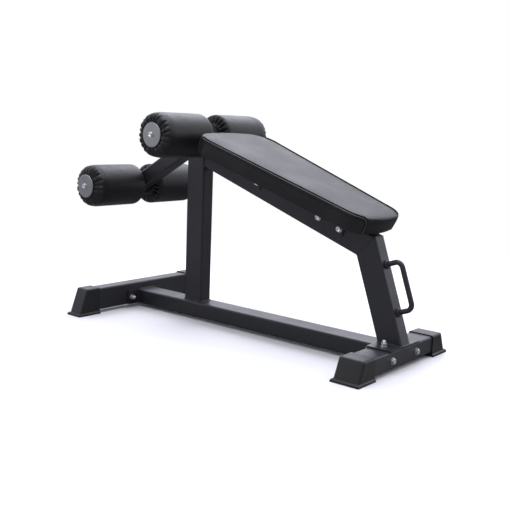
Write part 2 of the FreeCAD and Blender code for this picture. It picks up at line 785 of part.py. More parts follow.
def pad_bolts():
    """Bolts up through the brackets into the board's T-nuts."""
    grip = BRACKET_THICK + COVER_THICK + BOARD_THICK + PAD_BOLT_SPARE
    shape = placed(bolt(M8, grip), Placement(ORIGIN, Rotation(X_AXIS, 180)))
    bolts = []
    for point in pad_bolt_points():
        at_flange = placed(shape, Placement(point - Z_AXIS * BRACKET_THICK, Rotation()))
        bolts.append(placed(at_flange, BEAM_FRAME))
    return Part.Compound(bolts)


def pad_t_nuts():
    """T-nuts pressed into the board from above, one per pad bolt."""
    barrel_end = Vector(0, 0, -T_NUT_BARREL_LENGTH)
    flange_top = Vector(0, 0, T_NUT_FLANGE_THICK)
    barrel = rod(T_NUT_BARREL_R, barrel_end, ORIGIN)
    flange = rod(T_NUT_FLANGE_R, ORIGIN, flange_top)
    hole = rod(M8[0] + THREAD_CLEARANCE, barrel_end, flange_top)
    shape = barrel.fuse(flange).removeSplitter().cut(hole)
    nuts = []
    for point in pad_bolt_points():
        seat = Vector(point.x, point.y, board_top())
        nuts.append(placed(placed(shape, Placement(seat, Rotation())), BEAM_FRAME))
    return Part.Compound(nuts)


# ---- assembly -----------------------------------------------------------------------------


def bolted_joints():
    """Every through bolted joint, under the name of the node that holds its bolts."""
    front = [
        through_joint(point, -X_AXIS, TUBE_SHORT + FLANGE_THICK)
        for point in foot_bolt_points(-HALF_SHORT)
    ]
    rear = [
        through_joint(point, X_AXIS, TUBE_LONG + FLANGE_THICK)
        for point in foot_bolt_points(REAR_FOOT_X + HALF_LONG)
    ]
    plate = [
        through_joint(Vector(point.x, point.y, SOLE), -Z_AXIS, TUBE_SHORT + FOOT_PLATE_THICK)
        for point in foot_plate_points()
    ]
    half = HALF_SHORT + BRACKET_THICK
    bracket = [
        through_joint(point - Y_AXIS * half, -Y_AXIS, 2 * half)
        for point in bracket_bolt_points()
    ]
    return {
        "front_foot_bolts": front,
        "rear_foot_bolts": rear,
        "leg_plate_bolts": plate,
        "bracket_bolts": bracket,
    }


def fastener_nodes():
    """Bolts by joint, and all the equal washers and nuts as two groups."""
    nodes = {}
    washers = []
    nuts = []
    for name, joints in bolted_joints().items():
        nodes[name] = Part.Compound([joint["bolt"] for joint in joints])
        for joint in joints:
            washers += [joint["head_washer"], joint["nut_washer"]]
            nuts.append(joint["nut"])
    nodes["frame_washers"] = Part.Compound(washers)
    nodes["frame_nuts"] = Part.Compound(nuts)
    return nodes


def roller_nodes():
    """The four rollers, each as cover, foam, sleeve and bushes."""
    pieces = {
        "cover": roller_cover(),
        "foam": roller_foam(),
        "sleeve": roller_sleeve(),
        "bushes": roller_bushes(),
    }
    nodes = {}
    for level, centre in (("upper", UPPER_AXLE), ("lower", LOWER_AXLE)):
        for side_name, side in SIDES:
            for piece, shape in pieces.items():
                name = f"{level}_{side_name}_roller_{piece}"
                nodes[name] = on_axle_end(shape, centre, side)
    return nodes


def boot_nodes():
    """A boot on each end of both feet."""
    nodes = {}
    for foot, shape in (("front", front_boot()), ("rear", rear_boot())):
        nodes[f"{foot}_left_boot"] = shape
        nodes[f"{foot}_right_boot"] = shape.mirror(ORIGIN, Y_AXIS)
    return nodes


def bracket_nodes():
    """The four pad brackets."""
    nodes = {}
    for level, station in zip(("lower", "upper"), BRACKET_STATIONS):
        for side_name, side in SIDES:
            nodes[f"{level}_{side_name}_pad_bracket"] = pad_bracket(station, side)
    return nodes


def all_nodes():
    """Every node of the bench."""
    nodes = {
        "front_foot_tube": front_foot_tube(),
        "rear_foot_tube": rear_foot_tube(),
        "base_rail": base_rail(),
        "rail_front_flange": rail_flange(HALF_SHORT),
        "rail_rear_flange": rail_flange(rail_end()),
        "front_upright": front_upright(),
        "seat_beam": seat_beam(),
        "rear_leg": rear_leg(),
        "leg_foot_plate": leg_foot_plate(),
        "roller_arm": roller_arm(),
        "arm_end_plugs": arm_end_plugs(),
        "carry_handle": carry_handle(),
        "handle_bosses": handle_bosses(),
        "upper_axle": moved(axle(), x=UPPER_AXLE.x, z=UPPER_AXLE.z),
        "lower_axle": moved(axle(), x=LOWER_AXLE.x, z=LOWER_AXLE.z),
        "axle_end_discs": on_all_axle_ends(end_disc()),
        "axle_end_washers": on_all_axle_ends(end_washer()),
        "axle_end_bolts": on_all_axle_ends(end_bolt()),
        "axle_thrust_washers": on_all_axle_ends(thrust_washer()),
        "pad_board": pad_board(),
        "pad_foam": pad_foam(),
        "pad_cover": pad_cover(),
        "pad_bolts": pad_bolts(),
        "pad_t_nuts": pad_t_nuts(),
    }
    nodes.update(boot_nodes())
    nodes.update(bracket_nodes())
    nodes.update(fastener_nodes())
    nodes.update(roller_nodes())
    return nodes


os.makedirs("parts", exist_ok=True)
for node_name, node_shape in all_nodes().items():
    moved(node_shape, x=SHIFT_X).exportStep(f"parts/{node_name}.step")
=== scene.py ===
import json
import math
import random

import bmesh
import bpy
import numpy as np
from mathutils import Matrix, Vector, noise
from mathutils.bvhtree import BVHTree


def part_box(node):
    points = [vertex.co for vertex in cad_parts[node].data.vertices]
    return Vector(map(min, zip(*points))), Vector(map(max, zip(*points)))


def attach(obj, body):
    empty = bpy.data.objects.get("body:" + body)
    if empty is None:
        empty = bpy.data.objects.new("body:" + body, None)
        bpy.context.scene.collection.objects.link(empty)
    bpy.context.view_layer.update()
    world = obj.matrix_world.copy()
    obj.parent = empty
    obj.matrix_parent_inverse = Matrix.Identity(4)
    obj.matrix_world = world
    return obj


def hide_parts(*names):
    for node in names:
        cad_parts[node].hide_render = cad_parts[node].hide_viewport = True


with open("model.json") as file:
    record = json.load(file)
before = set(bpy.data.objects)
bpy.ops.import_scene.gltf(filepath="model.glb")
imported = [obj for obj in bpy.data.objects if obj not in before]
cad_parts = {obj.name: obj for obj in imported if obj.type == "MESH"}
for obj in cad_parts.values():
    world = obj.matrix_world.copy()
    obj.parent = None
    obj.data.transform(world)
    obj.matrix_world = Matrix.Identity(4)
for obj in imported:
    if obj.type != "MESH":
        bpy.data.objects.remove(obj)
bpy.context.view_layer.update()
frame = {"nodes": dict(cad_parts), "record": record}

MM = 0.001
NODES = frame["nodes"]
SIDES = (("left", 1), ("right", -1))

# Slopes of the welded frame, and of everything that is fastened to the beam
BEAM_SLOPE = math.radians(19.6)
LEG_LEAN = math.radians(19.9)
ARM_SLOPE = math.radians(29.8)


# ---- mesh helpers -------------------------------------------------------------------------


def mesh_points(mesh):
    """Vertices of a mesh, one row each."""
    points = np.zeros(len(mesh.vertices) * 3)
    mesh.vertices.foreach_get("co", points)
    return points.reshape(-1, 3)


def node_points(name):
    """Vertices of a CAD node, in metres in the row frame."""
    return mesh_points(NODES[name].data)


def linked(name, data):
    """Object with this data, put in the scene."""
    thing = bpy.data.objects.new(name, data)
    bpy.context.scene.collection.objects.link(thing)
    return thing


def mesh_object(name, points, faces):
    """Object with a new mesh, put in the scene."""
    mesh = bpy.data.meshes.new(name)
    mesh.from_pydata([tuple(point) for point in points], [], faces)
    return linked(name, mesh)


def new_piece(name, points, faces, material, slot, body="frame"):
    """Smooth-shaded mesh piece that rides on a body and wears the given material; the slot argument is
    not used.
    """
    piece = mesh_object(name, points, faces)
    piece.data.validate()
    piece.data.shade_smooth()
    piece.data.materials.append(material)
    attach(piece, body)
    return piece


def consistent_normals(piece):
    """Turn every face outwards."""
    edit = bmesh.new()
    edit.from_mesh(piece.data)
    bmesh.ops.recalc_face_normals(edit, faces=edit.faces)
    edit.to_mesh(piece.data)
    edit.free()


def grid_faces(rows, columns, close_rows=False, close_columns=False, first=0):
    """Quads of a grid of points stored row by row, closed on itself where asked."""
    faces = []
    for row in range(rows if close_rows else rows - 1):
        here = first + row * columns
        below = first + (row + 1) % rows * columns
        for column in range(columns if close_columns else columns - 1):
            right = (column + 1) % columns
            faces.append((here + column, here + right, below + right, below + column))
    return faces


def end_caps(rows, columns):
    """Faces that close both ends of a tube of point rows."""
    return [tuple(range(columns))[::-1], tuple(range((rows - 1) * columns, rows * columns))]


def joined(parts):
    """One list of points and one of faces from many such pairs."""
    points = []
    faces = []
    for more_points, more_faces in parts:
        faces += [tuple(len(points) + corner for corner in face) for face in more_faces]
        points += more_points
    return points, faces


def arc_lengths(path):
    """Distance along a path at each of its points."""
    lengths = [0.0]
    for start, end in zip(path, path[1:]):
        lengths.append(lengths[-1] + (end - start).length)
    return lengths


def divided(path, count):
    """A path resampled to count equal steps, both ends included."""
    lengths = arc_lengths(path)
    result = []
    segment = 0
    for index in range(count + 1):
        place = lengths[-1] * index / count
        while segment < len(path) - 2 and lengths[segment + 1] < place:
            segment += 1
        span = lengths[segment + 1] - lengths[segment]
        share = (place - lengths[segment]) / span if span else 0.0
        result.append(path[segment].lerp(path[segment + 1], share))
    return result


def resampled(path, step, closed):
    """A path resampled to equal steps that are about this long."""
    if closed:
        path = path + path[:1]
    result = divided(path, max(2, round(arc_lengths(path)[-1] / step)))
    return result[:-1] if closed else result


def directions(path, closed):
    """Direction of travel at each point of a path, from its neighbours, not of unit length."""
    before, after = (path[-1:], path[:1]) if closed else (path[:1], path[-1:])
    return [ahead - behind for behind, ahead in zip(before + path[:-1], path[1:] + after)]


def swept(path, radii, sides, closed):
    """Round tube along a path with a radius at each of its points; returns points and faces."""
    points = []
    normal = None
    for centre, radius, direction in zip(path, radii, directions(path, closed)):
        tangent = direction.normalized()
        if normal is None:
            normal = tangent.orthogonal().normalized()
        normal = (normal - tangent * normal.dot(tangent)).normalized()
        binormal = tangent.cross(normal)
        for side in range(sides):
            angle = math.tau * side / sides
            offset = normal * math.cos(angle) + binormal * math.sin(angle)
            points.append(centre + offset * radius)
    faces = grid_faces(len(path), sides, close_rows=closed, close_columns=True)
    return points, faces if closed else faces + end_caps(len(path), sides)


def limited(value):
    """A value kept between 0 and 1."""
    return min(1.0, max(0.0, value))


def smooth_step(value):
    """0 below 0, 1 above 1 and a smooth rise between them."""
    value = limited(value)
    return value * value * (3 - 2 * value)


# ---- materials ----------------------------------------------------------------------------


class Nodes:
    """Shader nodes of a material or world under construction."""

    def __init__(self, owner):
        owner.use_nodes = True
        self.tree = owner.node_tree

    def put(self, socket, value):
        """Link an output to a socket, or set the socket's own value."""
        if isinstance(value, bpy.types.NodeSocket):
            self.tree.links.new(value, socket)
        else:
            socket.default_value = value

    def add(self, kind, inputs, output=0, **properties):
        """Add a node, feed its inputs by name or number, and return one of its outputs."""
        node = self.tree.nodes.new(f"ShaderNode{kind}")
        for key, value in properties.items():
            setattr(node, key, value)
        for key, value in inputs.items():
            self.put(node.inputs[key], value)
        return node.outputs[output]

    def between(self, value, low, high, to_low=0.0, to_high=1.0):
        """Map a value's range low..high on another range, clamped and smooth."""
        inputs = {"Value": value, "From Min": low, "From Max": high, "To Min": to_low, "To Max": to_high}
        return self.add("MapRange", inputs, "Result", interpolation_type="SMOOTHSTEP")

    def maths(self, operation, a, b):
        """Result of an operation on two numbers."""
        return self.add("Math", {0: a, 1: b}, operation=operation)

    def vector(self, operation, a, b=(0.0, 0.0, 0.0), output="Vector"):
        """Result of an operation on one vector or two."""
        return self.add("VectorMath", {0: a, 1: b}, output, operation=operation)

    def mixed(self, share, a, b):
        """Shader a where share is 0 and b where it is 1."""
        return self.add("MixShader", {0: share, 1: a, 2: b})


class Finish(Nodes):
    """Material under construction: a Principled shader and the nodes that drive it."""

    def __init__(self, name):
        self.material = bpy.data.materials.new(name)
        super().__init__(self.material)
        self.shader = self.tree.nodes["Principled BSDF"]
        self.place = self.add("TexCoord", {}, "Object")

    def made(self, **inputs):
        """Set the shader's inputs, such as Base_Color, by name, and return the material."""
        for key, value in inputs.items():
            self.put(self.shader.inputs[key.replace("_", " ")], value)
        return self.material

    def surface(self, shader):
        """Show this shader instead of the Principled one."""
        self.put(self.tree.nodes["Material Output"].inputs["Surface"], shader)

    def noise(self, scale, detail=2.0, roughness=0.5, place=None):
        """Noise in the object's own coordinates, or in others."""
        inputs = {"Vector": place or self.place, "Scale": scale, "Detail": detail}
        return self.add("TexNoise", {**inputs, "Roughness": roughness}, "Fac")

    def grain(self, x, y, z, detail, roughness=0.5):
        """Noise with a scale of its own on each axis."""
        return self.noise(1.0, detail, roughness, self.vector("MULTIPLY", self.place, (x, y, z)))

    def cells(self, scale, feature="DISTANCE_TO_EDGE"):
        """Distance pattern of packed cells."""
        inputs = {"Vector": self.place, "Scale": scale}
        return self.add("TexVoronoi", inputs, "Distance", feature=feature)

    def blend(self, share, a, b):
        """Colour a where share is 0 and b where it is 1."""
        return self.add("Mix", {"Factor": share, "A": a, "B": b}, "Result", data_type="RGBA")

    def soft_edge(self, radius):
        """Normal with sharp edges rounded, and a wear mask that is about 1 on those edges."""
        rounded = self.add("Bevel", {"Radius": radius}, samples=4)
        plain = self.add("NewGeometry", {}, "Normal")
        facing = self.vector("DOT_PRODUCT", rounded, plain, "Value")
        return rounded, self.between(facing, 0.995, 0.85)

    def bump(self, height, depth, strength, below=None):
        """Bump of a given depth in metres, on top of another normal if one is given."""
        inputs = {"Height": height, "Distance": depth, "Strength": strength}
        if below is not None:
            inputs["Normal"] = below
        return self.add("Bump", inputs)

    def two_tone(self, tone, dark, light, roughness, normal):
        """Material whose colour varies between two, as tone does."""
        return self.made(Base_Color=self.blend(tone, dark, light), Roughness=roughness, Normal=normal)


def grey(level, tint=0.0):
    """Linear grey with a slight blue tint."""
    return (level * (1 - tint), level, level * (1 + 2 * tint), 1.0)


def powder_coat():
    """Charcoal powder coat: fine orange peel, faint cloudiness, edges rubbed a little."""
    finish = Finish("powder_coat_charcoal")
    clouds = finish.noise(9.0, detail=4.0)
    peel = finish.noise(650.0, detail=1.0)
    fleck = finish.noise(2400.0, detail=0.0)
    edge_normal, edge = finish.soft_edge(1.2 * MM)
    wear = finish.maths("MULTIPLY", edge, finish.noise(120.0, detail=3.0))
    colour = finish.blend(clouds, (0.0235, 0.0240, 0.0285, 1), (0.0285, 0.0290, 0.0345, 1))
    colour = finish.blend(finish.between(fleck, 0.62, 0.75, 0.0, 0.25), colour, grey(0.06, 0.05))
    colour = finish.blend(finish.between(wear, 0.35, 0.8, 0.0, 0.5), colour, grey(0.08, 0.05))
    return finish.made(
        Base_Color=colour,
        Roughness=finish.between(clouds, 0.3, 0.7, 0.36, 0.44),
        Normal=finish.bump(peel, 0.12 * MM, 0.35, below=edge_normal),
        Specular_IOR_Level=0.5,
    )


def moulded_plastic():
    """Black moulded plastic: spark-eroded grain, dull, paler on its corners."""
    finish = Finish("moulded_plastic_black")
    grain = finish.noise(1300.0)
    patches = finish.noise(14.0, detail=3.0)
    edge_normal, rub = finish.soft_edge(1.0 * MM)
    colour = finish.blend(patches, grey(0.010), grey(0.016))
    return finish.two_tone(
        finish.between(rub, 0.2, 1.0, 0.0, 0.4),
        colour,
        grey(0.045),
        roughness=finish.between(patches, 0.3, 0.7, 0.40, 0.50),
        normal=finish.bump(grain, 0.15 * MM, 0.5, below=edge_normal),
    )


def leathercloth(name, level, roughness_low, roughness_high, gloss, dullness):
    """Black upholstery leathercloth: pebbled grain with creases, soft uneven sheen."""
    finish = Finish(name)
    pebbles = finish.between(finish.cells(520.0), 0.0, 0.16)
    pores = finish.noise(1900.0)
    folds = finish.noise(46.0, detail=5.0, roughness=0.6)
    rubbed = finish.noise(7.0, detail=3.0)
    colour = finish.blend(pebbles, grey(level * 0.45), grey(level))
    colour = finish.blend(finish.between(rubbed, 0.45, 0.75, 0.0, 0.5), colour, grey(level * 1.6))
    skin = finish.bump(pebbles, 0.16 * MM, 0.55)
    skin = finish.bump(pores, 0.05 * MM, 0.4, below=skin)
    skin = finish.bump(folds, 0.5 * MM, 0.22, below=skin)
    dull = finish.add("BsdfDiffuse", {"Color": colour})
    share = finish.between(pores, 0.3, 0.7, dullness - 0.15, dullness + 0.15)
    finish.surface(finish.mixed(share, finish.shader.outputs[0], dull))
    return finish.made(
        Base_Color=colour,
        Roughness=finish.between(rubbed, 0.3, 0.75, roughness_high, roughness_low),
        Normal=skin,
        Sheen_Weight=0.06,
        Sheen_Roughness=0.4,
        Specular_IOR_Level=gloss,
    )


def sewing_thread():
    """Black polyester sewing thread with its twist."""
    finish = Finish("sewing_thread_black")
    twist = finish.grain(2600.0, 2600.0, 900.0, detail=0.0)
    return finish.two_tone(twist, grey(0.012), grey(0.035), 0.55, finish.bump(twist, 0.2 * MM, 0.6))


def bright_zinc(name, level, roughness):
    """Bright zinc plate: fine drawn lines, faint passivation tint, dull spots."""
    finish = Finish(name)
    spots = finish.noise(260.0, detail=4.0)
    lines = finish.grain(3000.0, 500.0, 3000.0, detail=3.0)
    yellowish = (level, level * 0.99, level * 0.95, 1)
    return finish.made(
        Base_Color=finish.blend(finish.noise(90.0), grey(level, 0.02), yellowish),
        Metallic=1.0,
        Roughness=finish.between(spots, 0.35, 0.7, roughness, roughness + 0.14),
        Normal=finish.bump(lines, 0.05 * MM, 0.35),
    )


def turned_aluminium():
    """Aluminium disc, faced on a lathe: rings about the nearer axle, clear anodised."""
    finish = Finish("turned_aluminium")
    lower, upper = [sum(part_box(f"{level}_axle"), Vector()) / 2 for level in ("lower", "upper")]
    x = finish.add("SeparateXYZ", {0: finish.place}, "X")
    offsets = {
        "Factor": finish.maths("GREATER_THAN", x, (lower.x + upper.x) / 2),
        "A": finish.vector("SUBTRACT", finish.place, lower),
        "B": finish.vector("SUBTRACT", finish.place, upper),
    }
    offset = finish.add("Mix", offsets, "Result", data_type="VECTOR")
    flat = finish.vector("MULTIPLY", offset, (1.0, 0.0, 1.0))
    radius = finish.vector("LENGTH", flat, output="Value")
    turns = {"W": finish.maths("MULTIPLY", radius, 2400.0), "Detail": 2.0}
    rings = finish.add("TexNoise", turns, "Fac", noise_dimensions="1D")
    smudges = finish.noise(40.0, detail=3.0)
    return finish.made(
        Base_Color=finish.blend(smudges, grey(0.33), grey(0.40)),
        Metallic=1.0,
        Roughness=finish.between(smudges, 0.3, 0.7, 0.42, 0.52),
        Normal=finish.bump(rings, 0.05 * MM, 0.5),
        Anisotropic=0.4,
    )


def nylon():
    """Natural nylon, slightly cloudy."""
    finish = Finish("natural_nylon")
    clouds = finish.noise(60.0, detail=3.0)
    return finish.two_tone(
        clouds,
        (0.72, 0.70, 0.62, 1),
        (0.80, 0.78, 0.70, 1),
        roughness=finish.between(clouds, 0.3, 0.7, 0.38, 0.5),
        normal=finish.bump(finish.noise(900.0), 0.08 * MM, 0.3),
    )


def plywood():
    """Birch plywood: long grain and fine pores."""
    finish = Finish("birch_plywood")
    grain = finish.grain(9.0, 160.0, 260.0, detail=5.0)
    pores = finish.bump(finish.grain(120.0, 1800.0, 1800.0, detail=2.0), 0.2 * MM, 0.5)
    return finish.two_tone(grain, (0.36, 0.23, 0.12, 1), (0.56, 0.40, 0.24, 1), 0.66, pores)


def foam():
    """Grey closed-cell foam, seen only between cover and sleeve."""
    finish = Finish("closed_cell_foam")
    cells = finish.cells(900.0)
    skin = finish.between(cells, 0.0, 0.3)
    return finish.two_tone(skin, grey(0.03), grey(0.06), 0.9, finish.bump(cells, 0.3 * MM, 0.8))


def spun_bond():
    """Black spun-bonded dust sheet under the pad."""
    finish = Finish("spun_bond_sheet")
    fibres = finish.grain(700.0, 700.0, 700.0, detail=6.0, roughness=0.7)
    dimples = finish.bump(finish.cells(330.0, feature="F1"), 0.3 * MM, 0.6)
    return finish.two_tone(fibres, grey(0.006), grey(0.028), 0.92, dimples)


PAD_LEATHER = leathercloth("pad_leathercloth", 0.0155, 0.36, 0.44, 0.42, 0.27)
ROLLER_LEATHER = leathercloth("roller_leathercloth", 0.0115, 0.36, 0.46, 0.5, 0.18)
# Painted shade: the seam grooves get a much darker, duller copy of the pad leathercloth.
SEAM_SHADOW = leathercloth("seam_groove_painted_shade_leathercloth", 0.003, 0.72, 0.85, 0.2, 0.8)
# Painted highlight: the seam's raised middle gets a lighter, glossier copy of the pad leathercloth.
SEAM_RIDGE_PAINTED_HIGHLIGHT = leathercloth("seam_ridge_painted_highlight_leathercloth", 0.045, 0.30, 0.38, 0.7, 0.16)
POWDER = powder_coat()
THREAD = sewing_thread()
SHEET = spun_bond()
ZINC = bright_zinc("zinc_fastener", 0.78, 0.24)

SLOT_MATERIALS = {
    "frame_paint": POWDER,
    "black_plastic": moulded_plastic(),
    "pad_cover": PAD_LEATHER,
    "roller_cover": ROLLER_LEATHER,
    "foam": foam(),
    "plywood": plywood(),
    "plated_steel": bright_zinc("zinc_shaft", 0.66, 0.30),
    "zinc_fastener": ZINC,
    "disc_aluminium": turned_aluminium(),
    "nylon": nylon(),
}


def dress_cad_nodes():
    """Give every CAD node the material of its slot."""
    for subpart in frame["record"]["subparts"]:
        node = NODES[subpart["node"]]
        material = SLOT_MATERIALS[subpart["material_slot"]]
        if not node.data.materials:
            node.data.materials.append(material)
        for slot in node.material_slots:
            slot.material = material


# ---- pad ----------------------------------------------------------------------------------

PAD_GRID = (130, 60)
PAD_BOW = 11 * MM
BOW_SHARE = 0.75
BOW_STEPS = 24
PAD_LOW_CORNER = 56 * MM
PAD_HIGH_CORNER = 84 * MM
LEAST_CORNER = 6 * MM
CORNER_STEPS = 16
LOW_CORNER_SHIFT = 9
ARC_HANDLE = 0.5523
PAD_BOARD_TOP = 17 * MM
PAD_LOW_TUCK = 10 * MM
PAD_HIGH_TUCK = 4 * MM
PAD_SIDE_DRAW = 4 * MM
PAD_SHRINK = 1.8 * MM
PAD_SWELL_CAP = 4.5 * MM
PAD_EDGE = 6 * MM
HEM_WIDTH = 36 * MM
HEM_LIP = 7 * MM
HEM_TURN = 5 * MM
FABRIC = 1.2 * MM
SEAM_LOOP = -4
GATHERS = 7
GATHER_DEPTH = 2.0 * MM
GATHER_HEIGHT = 44 * MM


class PadSpace:
    """The pad's own frame: X down the slope, Z square to the board, origin under its middle."""

    def __init__(self):
        turn = Matrix.Rotation(BEAM_SLOPE, 3, "Y")
        points = node_points("pad_cover") @ np.array(turn)
        low, high = points.min(0), points.max(0)
        middle = ((low[0] + high[0]) / 2, 0.0, low[2])
        self.matrix = Matrix.Translation(turn @ Vector(middle)) @ turn.to_4x4()
        self.half_length = (high[0] - low[0]) / 2
        self.height = high[2] - low[2]
        self.middle_width, self.taper = self.fit_taper(points - np.array(middle))

    def fit_taper(self, local):
        """Half width at the middle and its change per metre, from the sides' straight part."""
        reach = self.half_length - PAD_HIGH_CORNER * 1.6
        sides = [(x, abs(y)) for x, y, z in local if z > self.height * 0.3 and abs(x) < self.half_length]
        high_y = max(y for x, y in sides if x < 0)
        low_y = max(y for x, y in sides if x > reach)
        high_x = max(x for x, y in sides if y > high_y - 0.1 * MM)
        low_x = min(x for x, y in sides if x > reach and y > low_y - 0.1 * MM)
        change = (low_y - high_y) / (low_x - high_x)
        return high_y - change * high_x, change

    def half_width(self, x):
        """Half of the pad's width at a place along it."""
        return self.middle_width + self.taper * x


PAD = PadSpace()


def corner_curve(before, corner, after, radius):
    """Round a corner between two directions with one cubic arc; the ends are included."""
    start = corner - before * radius
    end = corner + after * radius
    first = start + before * radius * ARC_HANDLE
    second = end - after * radius * ARC_HANDLE
    points = []
    for step in range(2 * CORNER_STEPS + 1):
        t = step / (2 * CORNER_STEPS)
        near = start * (1 - t) ** 3 + first * 3 * t * (1 - t) ** 2
        points.append(near + second * 3 * t * t * (1 - t) + end * t**3)
    return points


def bowed(start, end, bow):
    """Inner points of a shallow arc from start to end, standing out by bow to its right."""
    chord = end - start
    out = Vector((chord.y, -chord.x)).normalized()
    shares = [step / BOW_STEPS for step in range(1, BOW_STEPS)]
    return [start + chord * t + out * bow * 4 * t * (1 - t) for t in shares]


def pad_tuck(height, most):
    """How far an end is drawn in at a height, because the cover is pulled under the board."""
    return most * limited(1 - height / PAD.height) ** 1.5


def pad_side_draw(height):
    """How far the taut cover draws the soft sides in above the board."""
    return PAD_SIDE_DRAW * limited((height - PAD_BOARD_TOP) / (PAD.height - PAD_BOARD_TOP))


def pad_outline(inset, height):
    """The pad outline at a height, drawn in by inset, as four runs from corner to corner.

    The runs are the low end, the left side, the high end and the right side. Each starts and
    stops in a corner: in the middle of a high one, and nearly round a low one, where the seam is.
    """
    reach = PAD.half_length - PAD_BOW - inset
    low_x = reach - pad_tuck(height, PAD_LOW_TUCK)
    high_x = pad_tuck(height, PAD_HIGH_TUCK) - reach
    low_y = PAD.half_width(low_x) - inset - pad_side_draw(height)
    high_y = PAD.half_width(high_x) - inset - pad_side_draw(height)
    low_r = max(PAD_LOW_CORNER - inset, LEAST_CORNER)
    high_r = max(PAD_HIGH_CORNER - inset, LEAST_CORNER)
    corners = ((low_x, -low_y), (low_x, low_y), (high_x, high_y), (high_x, -high_y))
    corners = [Vector(corner) for corner in corners]
    lean = BOW_SHARE * math.atan2(4 * PAD_BOW, 2 * low_y)
    arcs = []
    for index, radius in enumerate((low_r, low_r, high_r, high_r)):
        corner = corners[index]
        before = (corner - corners[index - 1]).normalized()
        after = (corners[(index + 1) % 4] - corner).normalized()
        if index in (1, 3):
            before = Matrix.Rotation(lean, 2) @ before
        else:
            after = Matrix.Rotation(-lean, 2) @ after
        arcs.append(corner_curve(before, corner, after, radius))
    late, early = CORNER_STEPS + LOW_CORNER_SHIFT, CORNER_STEPS - LOW_CORNER_SHIFT
    marks = (late, early, CORNER_STEPS, CORNER_STEPS)
    runs = []
    for index, bow in enumerate((PAD_BOW * BOW_SHARE, 0.0) * 2):
        after = (index + 1) % 4
        first = arcs[index][marks[index] :]
        last = arcs[after][: marks[after] + 1]
        runs.append(first + bowed(first[-1], last[0], bow) + last)
    return runs


def pad_runs(inset, height):
    """The outline's four runs at a height, in even steps that match the cap's grid."""
    along, across = PAD_GRID
    runs = zip(pad_outline(inset, height), (across, along, across, along))
    return [[point.to_3d() for point in divided(run, count)] for run, count in runs]


def pad_ring(inset, height):
    """The closed pad outline as one list: low end, left side, high end, right side."""
    lift = Vector((0.0, 0.0, height))
    return [point + lift for run in pad_runs(inset, height) for point in run[:-1]]


def gathered_ring(inset, height):
    """Outline with the small folds that a cover gets where it is pulled round a corner."""
    ring = pad_ring(inset, height)
    depth = GATHER_DEPTH * smooth_step(1 - height / GATHER_HEIGHT)
    result = []
    for point, along in zip(ring, directions(ring, closed=True)):
        turn = math.atan2(along.y, along.x)
        fold = abs(math.sin(2 * turn)) * (0.5 - 0.5 * math.cos(4 * GATHERS * turn))
        outward = Vector((along.y, -along.x, 0.0)).normalized()
        result.append(point - outward * depth * fold)
    return result


def pad_cap(inset, height):
    """Grid of points that fills the outline, row by row from the low end to the high end."""
    along, across = PAD_GRID
    low, left, high, right = pad_runs(inset, height)
    high = high[::-1]
    right = right[::-1]
    points = []
    for row in range(along + 1):
        u = row / along
        for column in range(across + 1):
            v = column / across
            ends = low[column] * (1 - u) + high[column] * u
            sides = right[row] * (1 - v) + left[row] * v
            corners = (low[0] * (1 - v) + low[-1] * v) * (1 - u) + (high[0] * (1 - v) + high[-1] * v) * u
            point = ends + sides - corners
            points.append(Vector((point.x, point.y, height)))
    return points


def cap_rim(first):
    """Indices of a cap's outer points in the order of pad_ring."""
    along, across = PAD_GRID
    wide = across + 1
    low = [first + column for column in range(across)]
    left = [first + row * wide + across for row in range(along)]
    high = [first + along * wide + column for column in range(across, 0, -1)]
    right = [first + row * wide for row in range(along, 0, -1)]
    return low + left + high + right


def capped(sections, ring):
    """Closed quad mesh through a stack of (inset, height) outlines, with a cap at both ends.

    Returns its points, the faces of the first cap, of the last cap and of the wall between
    them, and the loop of point indices of each outline.
    """
    shape = (PAD_GRID[0] + 1, PAD_GRID[1] + 1)
    around = 2 * sum(PAD_GRID)
    points = pad_cap(*sections[0])
    loops = [cap_rim(0)]
    for inset, height in sections[1:-1]:
        loops.append(list(range(len(points), len(points) + around)))
        points += ring(inset, height)
    last = grid_faces(*shape, first=len(points))
    loops.append(cap_rim(len(points)))
    points += pad_cap(*sections[-1])
    wall = []
    for below, above in zip(loops, loops[1:]):
        for index in range(around):
            after = (index + 1) % around
            wall.append((below[index], below[after], above[after], above[index]))
    return points, grid_faces(*shape), last, wall, loops


def flipped(faces):
    """Faces turned over."""
    return [face[::-1] for face in faces]


def pad_profile():
    """(inset, height) steps of the cover's section, from its hem under the board to its top."""
    top = PAD.height - PAD_SHRINK
    hem_rings, turn_rings, side_rings, edge_rings = 5, 4, 10, 6
    steps = [(HEM_WIDTH, HEM_LIP), (HEM_WIDTH, FABRIC), (HEM_WIDTH - FABRIC, 0.0)]
    hem_end = HEM_TURN + FABRIC
    for index in range(1, hem_rings + 1):
        inset = HEM_WIDTH - FABRIC + (hem_end - HEM_WIDTH + FABRIC) * index / hem_rings
        steps.append((inset, 0.0))
    for index in range(1, turn_rings + 1):
        angle = math.pi / 2 * index / turn_rings
        steps.append((hem_end - HEM_TURN * math.sin(angle), HEM_TURN * (1 - math.cos(angle))))
    for index in range(1, side_rings + 1):
        height = HEM_TURN + (top - PAD_EDGE - HEM_TURN) * index / side_rings
        share = limited((height - PAD_BOARD_TOP) / (8 * MM))
        steps.append((FABRIC + share * (PAD_SHRINK - FABRIC), height))
    for index in range(1, edge_rings + 1):
        angle = math.pi / 2 * index / edge_rings
        inset = PAD_SHRINK + PAD_EDGE * (1 - math.cos(angle))
        steps.append((inset, top - PAD_EDGE * (1 - math.sin(angle))))
    return steps


CLOTH_FRAMES = 20
CLOTH_SETTINGS = {
    "use_pressure": True,
    "uniform_pressure_force": 4.0,
    "vertex_group_mass": "held",
    "tension_stiffness": 18.0,
    "compression_stiffness": 18.0,
    "shear_stiffness": 8.0,
    "bending_stiffness": 1.5,
    "quality": 6,
}


